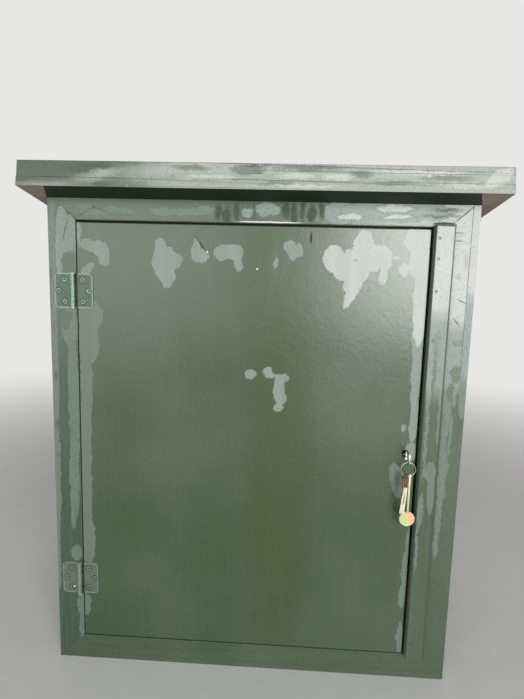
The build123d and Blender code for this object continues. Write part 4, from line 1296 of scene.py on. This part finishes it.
@dataclass
class Carcass:
    """The painted boards of the cabinet, and the bare battens inside it."""

    nodes: dict[str, Object]

    def build(self) -> None:
        """Dresses every board and batten."""
        self.paint_boards()
        self.bare_battens()
        dress(self.nodes, HeadPaint(), "strip_nails")

    def paint_boards(self) -> None:
        """Paints the boards, each with its own patches where its front is seen."""
        upright, level = Brushing.UPRIGHT, Brushing.LEVEL
        dress(self.nodes, GreenGloss("green_upright", upright), "back_panel", "lock_post")
        dress(self.nodes, GreenGloss("green_level", level), "bottom_panel")
        # The darker paint on the left side panel and left stile is painted shade, away from the window light.
        shaded = {"deep": (0.024, 0.054, 0.024), "green": (0.040, 0.076, 0.040)}
        # The right boards' soft pale and white patches are painted glow of the window light.
        lit = {"wear": STILE_WEAR_GLOW_AND_SHADE}
        boards = {
            "side_panel_left": (upright, LEFT_SIDE_FILM, shaded),
            "side_panel_right": (upright, RIGHT_SIDE_FILM, lit),
            "frame_stile_left": (upright, LEFT_STILE_FILM, shaded),
            "frame_stile_right": (upright, RIGHT_STILE_FILM, lit),
            "frame_rail_top": (level, TOP_RAIL_FILM, {"wear": RAIL_WEAR_HIGHLIGHT_AND_SHADE}),
            "frame_rail_bottom": (level, BOTTOM_RAIL_FILM, {}),
            "cover_strip": (upright, STRIP_FILM, {"wear": STRIP_WEAR_GLOW_AND_SHADE, "side_pale": 0.8}),
            "door_panel": (upright, DOOR_FILM, {"bristles": 0.3, "grit": 0.6}),
        }
        for node, (brushing, film, changed) in boards.items():
            dress(self.nodes, GreenGloss(f"green_{node}", brushing, film, **changed), node)
        roof = GreenGloss("green_roof", level, FASCIA_FILM, FASCIA_WEAR_AND_GLOW, underside_shade_and_bare=True)
        dress(self.nodes, roof, "roof_board", "roof_front_lath", "roof_liner")

    def bare_battens(self) -> None:
        """Dresses the battens inside; the stops behind the door's edges are near-black painted shade in the
        gaps.
        """
        posts = BareTimber("timber_upright", Brushing.UPRIGHT)
        dress(self.nodes, posts, "corner_batten_left", "corner_batten_right", "keep_batten")
        rafters = BareTimber("timber_sloped", Brushing.FRONT_TO_BACK)
        dress(self.nodes, rafters, "roof_batten_left", "roof_batten_right")
        # The stops' near-black colour is painted shade, seen through the gaps round the door.
        stops = BareTimber("timber_level", Brushing.LEVEL, (0.035, 0.028, 0.02), (0.05, 0.042, 0.03))
        dress(self.nodes, stops, "stop_batten_top", "stop_batten_bottom")


@dataclass
class Ironmongery:
    """Hinges, lock, keep and fasteners."""

    nodes: dict[str, Object]

    def build(self) -> None:
        """Dresses the hinges, the lock and the fasteners."""
        leaves = [f"{end}_hinge_{side}_leaf" for end in ("upper", "lower") for side in ("frame", "door")]
        small = ("frame_hinge_screws", "door_hinge_screws", "upper_hinge_pin", "lower_hinge_pin")
        dress(self.nodes, HingePaint(), *leaves, *small)
        plated = Steel("plated_steel", (0.40, 0.40, 0.385), (0.29, 0.285, 0.27), (0.34, 0.46), 48.0)
        dress(self.nodes, plated, "lock_case", "keep_plate", "lock_follower")
        bolt = Steel("bolt_steel", (0.52, 0.51, 0.49), (0.36, 0.35, 0.33), (0.26, 0.40), 90.0)
        dress(self.nodes, bolt, "lock_bolt")
        zinc = Steel("zinc_fasteners", (0.46, 0.46, 0.45), (0.30, 0.29, 0.27), (0.34, 0.55), 300.0)
        fasteners = ("side_screws", "roof_screws", "lock_screws", "keep_plate_screws", "back_panel_nails")
        dress(self.nodes, zinc, *fasteners)
        dress(self.nodes, KeySteel(), "key")


@dataclass
class SplitRing:
    """The wire ring of two turns that holds the fob in the key's bow."""

    radius: float = 10.4 * MM
    wire: float = 0.40 * MM
    turns: float = 2.0
    steps_per_turn: int = 72

    def build(self, finish: Material) -> Object:
        """Winds the ring in the place of its CAD node.

        Args:
            finish: Its material.

        Returns:
            The piece.
        """
        low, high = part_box("key_ring")
        centre = (low + high) / 2
        rise = 2 * self.wire * self.turns
        steps = round(self.steps_per_turn * self.turns)
        start = Matrix.Translation(centre + Vector((self.radius, -rise / 2, 0)))
        bm = bmesh.new()
        bmesh.ops.create_circle(bm, cap_ends=False, radius=self.wire, segments=10, matrix=start)
        bmesh.ops.spin(
            bm,
            geom=[*bm.verts, *bm.edges],
            cent=centre,
            axis=(0, 1, 0),
            dvec=(0, rise / steps, 0),
            angle=2 * pi * self.turns,
            steps=steps,
        )
        bmesh.ops.holes_fill(bm, edges=[e for e in bm.edges if e.is_boundary], sides=0)
        ring = piece_from(bm, "split_ring", finish)
        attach(ring, "ring")
        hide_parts("key_ring")
        return ring


@dataclass
class Fob:
    """The small fob: a stitched leather tab, a ribbon, a strap and a two-colour disc, in metres."""

    leather: float = 1.0 * MM
    layer: float = 0.55 * MM
    loop_width: float = 5.0 * MM
    neck: float = 2.6 * MM
    neck_foot: float = 1.5 * MM
    neck_spread: float = 0.7
    tip_inset: float = 0.5 * MM
    tab_rounding: float = 0.25 * MM
    tab_steps: int = 8
    stitch: tuple[float, float, float] = (0.22 * MM, 0.16 * MM, 0.78 * MM)
    stitch_gap: float = 2.3 * MM
    stitch_inset: float = 1.1 * MM
    stitch_stand: float = 1.08 * MM
    stitch_ends: tuple[float, float] = (8.4 * MM, 1.5 * MM)
    ribbon: float = 2.7 * MM
    ribbon_thickness: float = 0.5 * MM
    ribbon_rounding: float = 0.12 * MM
    ribbon_steps: int = 26
    band_height: float = 5.1 * MM
    splay: float = 3.4 * MM
    parting: float = 0.9 * MM
    flutter: float = 0.28 * MM
    flutter_turn: float = 9.0
    set_in: Span = (4.0, 3.0)  # how fast the flutter and the parting set in below the fork
    tails: tuple[tuple[float, float, float], ...] = ((1.6, 0.75, 0.0), (0.0, 1.0, 1.0))  # right, left
    strap_wall: float = 0.9 * MM
    strap_rounding: float = 0.2 * MM
    strap_steps: int = 16
    strap_wave: float = 0.12 * MM
    strap_wave_turn: float = 0.9
    strap_turn: float = 0.93
    disc_sides: int = 72
    disc_rim: float = 1.3 * MM
    disc_step: float = 0.25 * MM
    disc_sink: float = 0.4 * MM
    disc_rounding: float = 0.45 * MM

    def tab(self, finish: Material) -> Object:
        """Folds a strip of leather over the ring.

        Args:
            finish: Its material.

        Returns:
            The piece.
        """
        low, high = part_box("fob_tab")
        half_loop, half_tab = self.loop_width / 2, (high.x - low.x) / 2
        reach = (high.y - low.y) / 2 - self.leather / 2
        centre = (low + high) / 2
        centre.z = high.z - reach - self.leather / 2
        inward = self.layer - reach
        below = Vector((0, inward * self.neck_spread, self.neck_foot))
        above = Vector((0, inward * (1 - self.neck_spread), self.neck - self.neck_foot))
        downward = Vector((1, 1, -1))
        bm = bmesh.new()
        front = edge_line(bm, centre - Vector((0, self.layer, self.neck)), half_loop, steps=6)
        back = pull_band(bm, pull_band(bm, front, below), above)
        back = turn_band(bm, back, centre, -pi, steps=14)
        back = pull_band(bm, pull_band(bm, back, above * downward), below * downward)
        drop = Vector((0, 0, (low.z - centre.z + self.neck) / self.tab_steps))
        space = Matrix.Translation((-centre.x, 0, 0))
        for edges in (front, back):
            for step in range(1, self.tab_steps + 1):
                edges = pull_band(bm, edges, drop)
                verts = list(dict.fromkeys(v for e in edges for v in e.verts))
                width = half_loop + (half_tab - half_loop) * min(1.0, step / 2)
                if step == self.tab_steps:
                    width = half_tab - self.tip_inset
                wider = width / max(abs(v.co.x - centre.x) for v in verts)
                bmesh.ops.scale(bm, vec=(wider, 1, 1), space=space, verts=verts)
        tab = piece_from(bm, "leather_tab", finish)
        thicken(tab, self.leather, self.tab_rounding)
        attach(tab, "ring")
        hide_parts("fob_tab")
        return tab

    def stitches(self, finish: Material) -> Object:
        """Sews a row of thread down each edge of the tab.

        Args:
            finish: The thread's material.

        Returns:
            The piece.
        """
        low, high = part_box("fob_tab")
        front = (low.y + high.y) / 2 - self.stitch_stand
        top, bottom = high.z - self.stitch_ends[0], low.z + self.stitch_ends[1]
        count = int((top - bottom) / self.stitch_gap)
        bm = bmesh.new()
        for side in (low.x + self.stitch_inset, high.x - self.stitch_inset):
            for i in range(count + 1):
                place = Matrix.Translation((side, front, bottom + i * (top - bottom) / count))
                shape = place @ Matrix.Diagonal((*self.stitch, 1.0))
                bmesh.ops.create_uvsphere(bm, u_segments=8, v_segments=6, radius=1.0, matrix=shape)
        thread = piece_from(bm, "tab_stitches", finish)
        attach(thread, "ring")
        return thread

    def ribbons(self, finish: Material) -> Object:
        """Hangs the ribbon: a band at its top, and two tails below.

        Args:
            finish: Its material.

        Returns:
            The piece.
        """
        low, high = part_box("fob_ribbon")
        tab_low, tab_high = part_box("fob_tab")
        middle = (tab_low.x + tab_high.x) / 2
        fork = high.z - self.band_height
        bm = bmesh.new()
        row = edge_line(bm, Vector((middle, (low.y + high.y) / 2, high.z)), self.ribbon, steps=8)
        for _ in range(self.ribbon_steps):
            row = pull_band(bm, row, Vector((0, 0, (low.z - high.z) / self.ribbon_steps)))
        split = {v for v in bm.verts if abs(v.co.x - middle) < SAME and v.co.z < fork + SAME}
        bmesh.ops.split_edges(bm, edges=[e for e in bm.edges if split.issuperset(e.verts)])
        for vert in bm.verts:
            below = max(0.0, (fork - vert.co.z) / (fork - low.z))
            faces = vert.link_faces
            left = sum(f.calc_center_median().x for f in faces) / len(faces) < middle
            wave, spread, parting = self.tails[left]
            waving, parted = (min(1.0, below * rate) for rate in self.set_in)
            vert.co.y += sin(below * self.flutter_turn + wave) * self.flutter * waving
            vert.co.x -= self.splay * spread * below + self.parting * parting * parted
        tails = piece_from(bm, "ribbon_tails", finish)
        thicken(tails, self.ribbon_thickness, self.ribbon_rounding, 2)
        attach(tails, "ring")
        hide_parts("fob_ribbon")
        return tails

    def strap(self, finish: Material) -> Object:
        """Hangs the strap from the ring by its loop.

        Args:
            finish: Its material.

        Returns:
            The piece.
        """
        low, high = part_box("fob_strap")
        reach = (high.y - low.y) / 2 - self.strap_wall / 2
        centre = (low + high) / 2
        centre.z = high.z - reach - self.strap_wall / 2
        drop = (low.z - centre.z + reach) / self.strap_steps
        bm = bmesh.new()
        foot = edge_line(bm, centre - Vector((0, 0, reach)), (high.x - low.x) / 2, steps=4)
        turn_band(bm, foot, centre, -2 * pi * self.strap_turn, steps=24)
        for step in range(self.strap_steps):
            sway = self.strap_wave * sin(step * self.strap_wave_turn)
            foot = pull_band(bm, foot, Vector((0, sway, drop)))
        strap = piece_from(bm, "fob_strap_band", finish)
        thicken(strap, self.strap_wall, self.strap_rounding)
        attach(strap, "ring")
        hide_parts("fob_strap")
        return strap

    def disc(self, finish: Material) -> Object:
        """Moulds the disc, with a raised rim on both faces.

        Args:
            finish: Its material.

        Returns:
            The piece.
        """
        low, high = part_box("fob_disc")
        radius, thickness = (high.x - low.x) / 2, high.y - low.y
        upright = Matrix.Rotation(pi / 2, 4, "X")
        sides = {"segments": self.disc_sides, "radius1": radius, "radius2": radius, "depth": thickness}
        bm = bmesh.new()
        bmesh.ops.create_cone(bm, cap_ends=True, matrix=upright, **sides)
        for cap in [f for f in bm.faces if len(f.verts) > 4]:
            outward = cap.normal.copy()
            for width in (self.disc_rim, self.disc_step):
                bmesh.ops.inset_region(bm, faces=[cap], thickness=width, depth=0.0)
            bmesh.ops.translate(bm, verts=cap.verts[:], vec=outward * -self.disc_sink)
        outer = {v for v in bm.verts if abs(v.co.xz.length - radius) < SAME}
        rim = [e for e in bm.edges if outer.issuperset(e.verts) and e.verts[0].co.y * e.verts[1].co.y > 0]
        soften = {"affect": "EDGES", "segments": 3, "profile": 0.5, "material": -1}
        bmesh.ops.bevel(bm, geom=rim, offset=self.disc_rounding, **soften)
        bmesh.ops.translate(bm, verts=bm.verts[:], vec=(low + high) / 2)
        disc = piece_from(bm, "fob_disc_moulding", finish, smooth=False)
        for polygon in disc.data.polygons:
            polygon.use_smooth = len(polygon.vertices) < 8
        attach(disc, "ring")
        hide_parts("fob_disc")
        return disc

    def build(self) -> None:
        """Makes the fob's pieces and dresses them."""
        self.tab(Leather().build())
        self.stitches(Woven("thread_finish", base=(0.62, 0.52, 0.36), tip=(0.62, 0.52, 0.36)).build())
        self.ribbons(Woven("ribbon_finish").build())
        strap = TintedPlastic(
            "strap_finish",
            tints=((0.36, 0.50, 0.22), (0.58, 0.64, 0.33), (0.74, 0.74, 0.52)),
            direction=(0.0, 0.0, 1.0),
            stops=(0.292, 0.322, 0.322, 0.338),
        )
        self.strap(strap.build())
        disc = TintedPlastic(
            "disc_finish",
            tints=((0.48, 0.60, 0.28), (0.82, 0.47, 0.22), (0.81, 0.50, 0.38)),
            direction=(0.88, 0.0, 0.48),
            stops=(0.3352, 0.3385, 0.3440, 0.3475),
        )
        self.disc(disc.build())


@dataclass(frozen=True)
class Lamp:
    """A soft square light: where it hangs, what it faces, its side in metres and its power in watts."""

    name: str
    place: tuple[float, float, float]
    target: tuple[float, float, float]
    side: float
    watts: float

    def hang(self) -> Object:
        """Hangs the light, out of the camera's own sight.

        Returns:
            The lamp.
        """
        light = bpy.data.lights.new(self.name, "AREA")
        light.shape = "RECTANGLE"
        light.size = light.size_y = self.side
        light.energy = self.watts
        lamp = bpy.data.objects.new(self.name, light)
        lamp.location = self.place
        lamp.rotation_euler = (Vector(self.target) - Vector(self.place)).to_track_quat("-Z", "Y").to_euler()
        lamp.visible_camera = False
        bpy.context.scene.collection.objects.link(lamp)
        return lamp


@dataclass
class Studio:
    """The pale floor, the surrounding light and the camera."""

    camera_place: tuple[float, float, float] = (0.04083, -0.84050, 0.60984)
    camera_turn: tuple[float, float, float] = (82.599, -1.545, 2.854)
    lens: float = 24.249
    sensor: float = 36.0
    floor_radius: float = 7.0
    floor_drop: float = 0.2 * MM
    fade: Span = (0.7, 3.0)
    floor_tints: tuple[Colour, Colour] = ((0.58, 0.575, 0.56), (0.66, 0.655, 0.64))
    backdrop: Colour = (0.80, 0.80, 0.79)
    light: Colour = (1.0, 1.0, 1.0)
    ambient: float = 0.36
    lamps: tuple[Lamp, ...] = (
        Lamp("window_light", (1.0, -2.5, 0.95), (0.1, -0.15, 0.5), 1.1, 53.0),
        Lamp("fill_light", (-1.05, -2.4, 0.95), (-0.1, -0.15, 0.5), 1.5, 17.0),
    )

    def floor(self) -> Object:
        """Lays the floor, which fades into the backdrop far from the cabinet.

        Returns:
            The floor.
        """
        material = bpy.data.materials.new("pale_floor")
        material.use_nodes = True
        material.node_tree.nodes.clear()
        wiring = Wiring(material.node_tree)
        here = wiring.place("TexCoord").outputs["Object"]
        colour = wiring.blend(wiring.noise(here, 30.0, detail=4.0)[0], *self.floor_tints)
        shader = wiring.place("BsdfPrincipled", {"Base Color": colour, "Roughness": 0.6})
        glow = wiring.place("Emission", {"Color": self.backdrop, "Strength": 1.0})
        seen = wiring.place("LightPath").outputs["Is Camera Ray"]
        share = wiring.times(wiring.span(wiring.vector("LENGTH", here), *self.fade), seen)
        mixed = wiring.place("MixShader", {0: share, 1: shader.outputs[0], 2: glow.outputs[0]})
        wiring.place("OutputMaterial", {"Surface": mixed.outputs[0]})
        bm = bmesh.new()
        under = Matrix.Translation((0, 0, -self.floor_drop))
        bmesh.ops.create_circle(bm, cap_ends=True, radius=self.floor_radius, segments=96, matrix=under)
        floor = piece_from(bm, "floor", material, smooth=False)
        return floor

    def surroundings(self) -> None:
        """Sets the pale surroundings: plain to the camera and in reflections, and dimmer as light."""
        world = bpy.data.worlds.new("surroundings")
        world.use_nodes = True
        bpy.context.scene.world = world
        world.node_tree.nodes.clear()
        wiring = Wiring(world.node_tree)
        path = wiring.place("LightPath").outputs
        seen = wiring.number("MAXIMUM", path["Is Camera Ray"], path["Is Glossy Ray"])
        seen = wiring.number("MAXIMUM", seen, path["Is Transmission Ray"])
        strength = wiring.scaled(seen, 1.0 - self.ambient, self.ambient)
        colour = wiring.blend(seen, self.light, self.backdrop)
        background = wiring.place("Background", {"Color": colour, "Strength": strength})
        wiring.place("OutputWorld", {"Surface": background.outputs[0]})

    def camera(self) -> Object:
        """Stands the camera where the view was taken from.

        Returns:
            The camera.
        """
        data = bpy.data.cameras.new("view")
        data.sensor_width = self.sensor
        data.lens = self.lens
        camera = bpy.data.objects.new("view", data)
        camera.location = self.camera_place
        camera.rotation_euler = Euler([radians(a) for a in self.camera_turn], "XYZ")
        bpy.context.scene.collection.objects.link(camera)
        bpy.context.scene.camera = camera
        return camera

    def build(self) -> None:
        """Sets up floor, light and camera."""
        self.camera()
        self.floor()
        self.surroundings()
        for lamp in self.lamps:
            lamp.hang()
        bpy.context.scene.view_settings.view_transform = "Standard"
        LOG.info("studio set")


def main() -> None:
    """Builds the dressed cabinet piece by piece."""
    logging.basicConfig(level=logging.INFO, format="%(name)s: %(message)s")
    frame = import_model()
    nodes = frame["nodes"]
    Studio().build()
    Carcass(nodes).build()
    Ironmongery(nodes).build()
    wire = Steel("ring_steel", (0.78, 0.77, 0.74), (0.50, 0.48, 0.44), (0.14, 0.3), 600.0)
    SplitRing().build(wire.build())
    Fob().build()
    LOG.info("cabinet dressed")


if __name__ == "__main__":
    main()
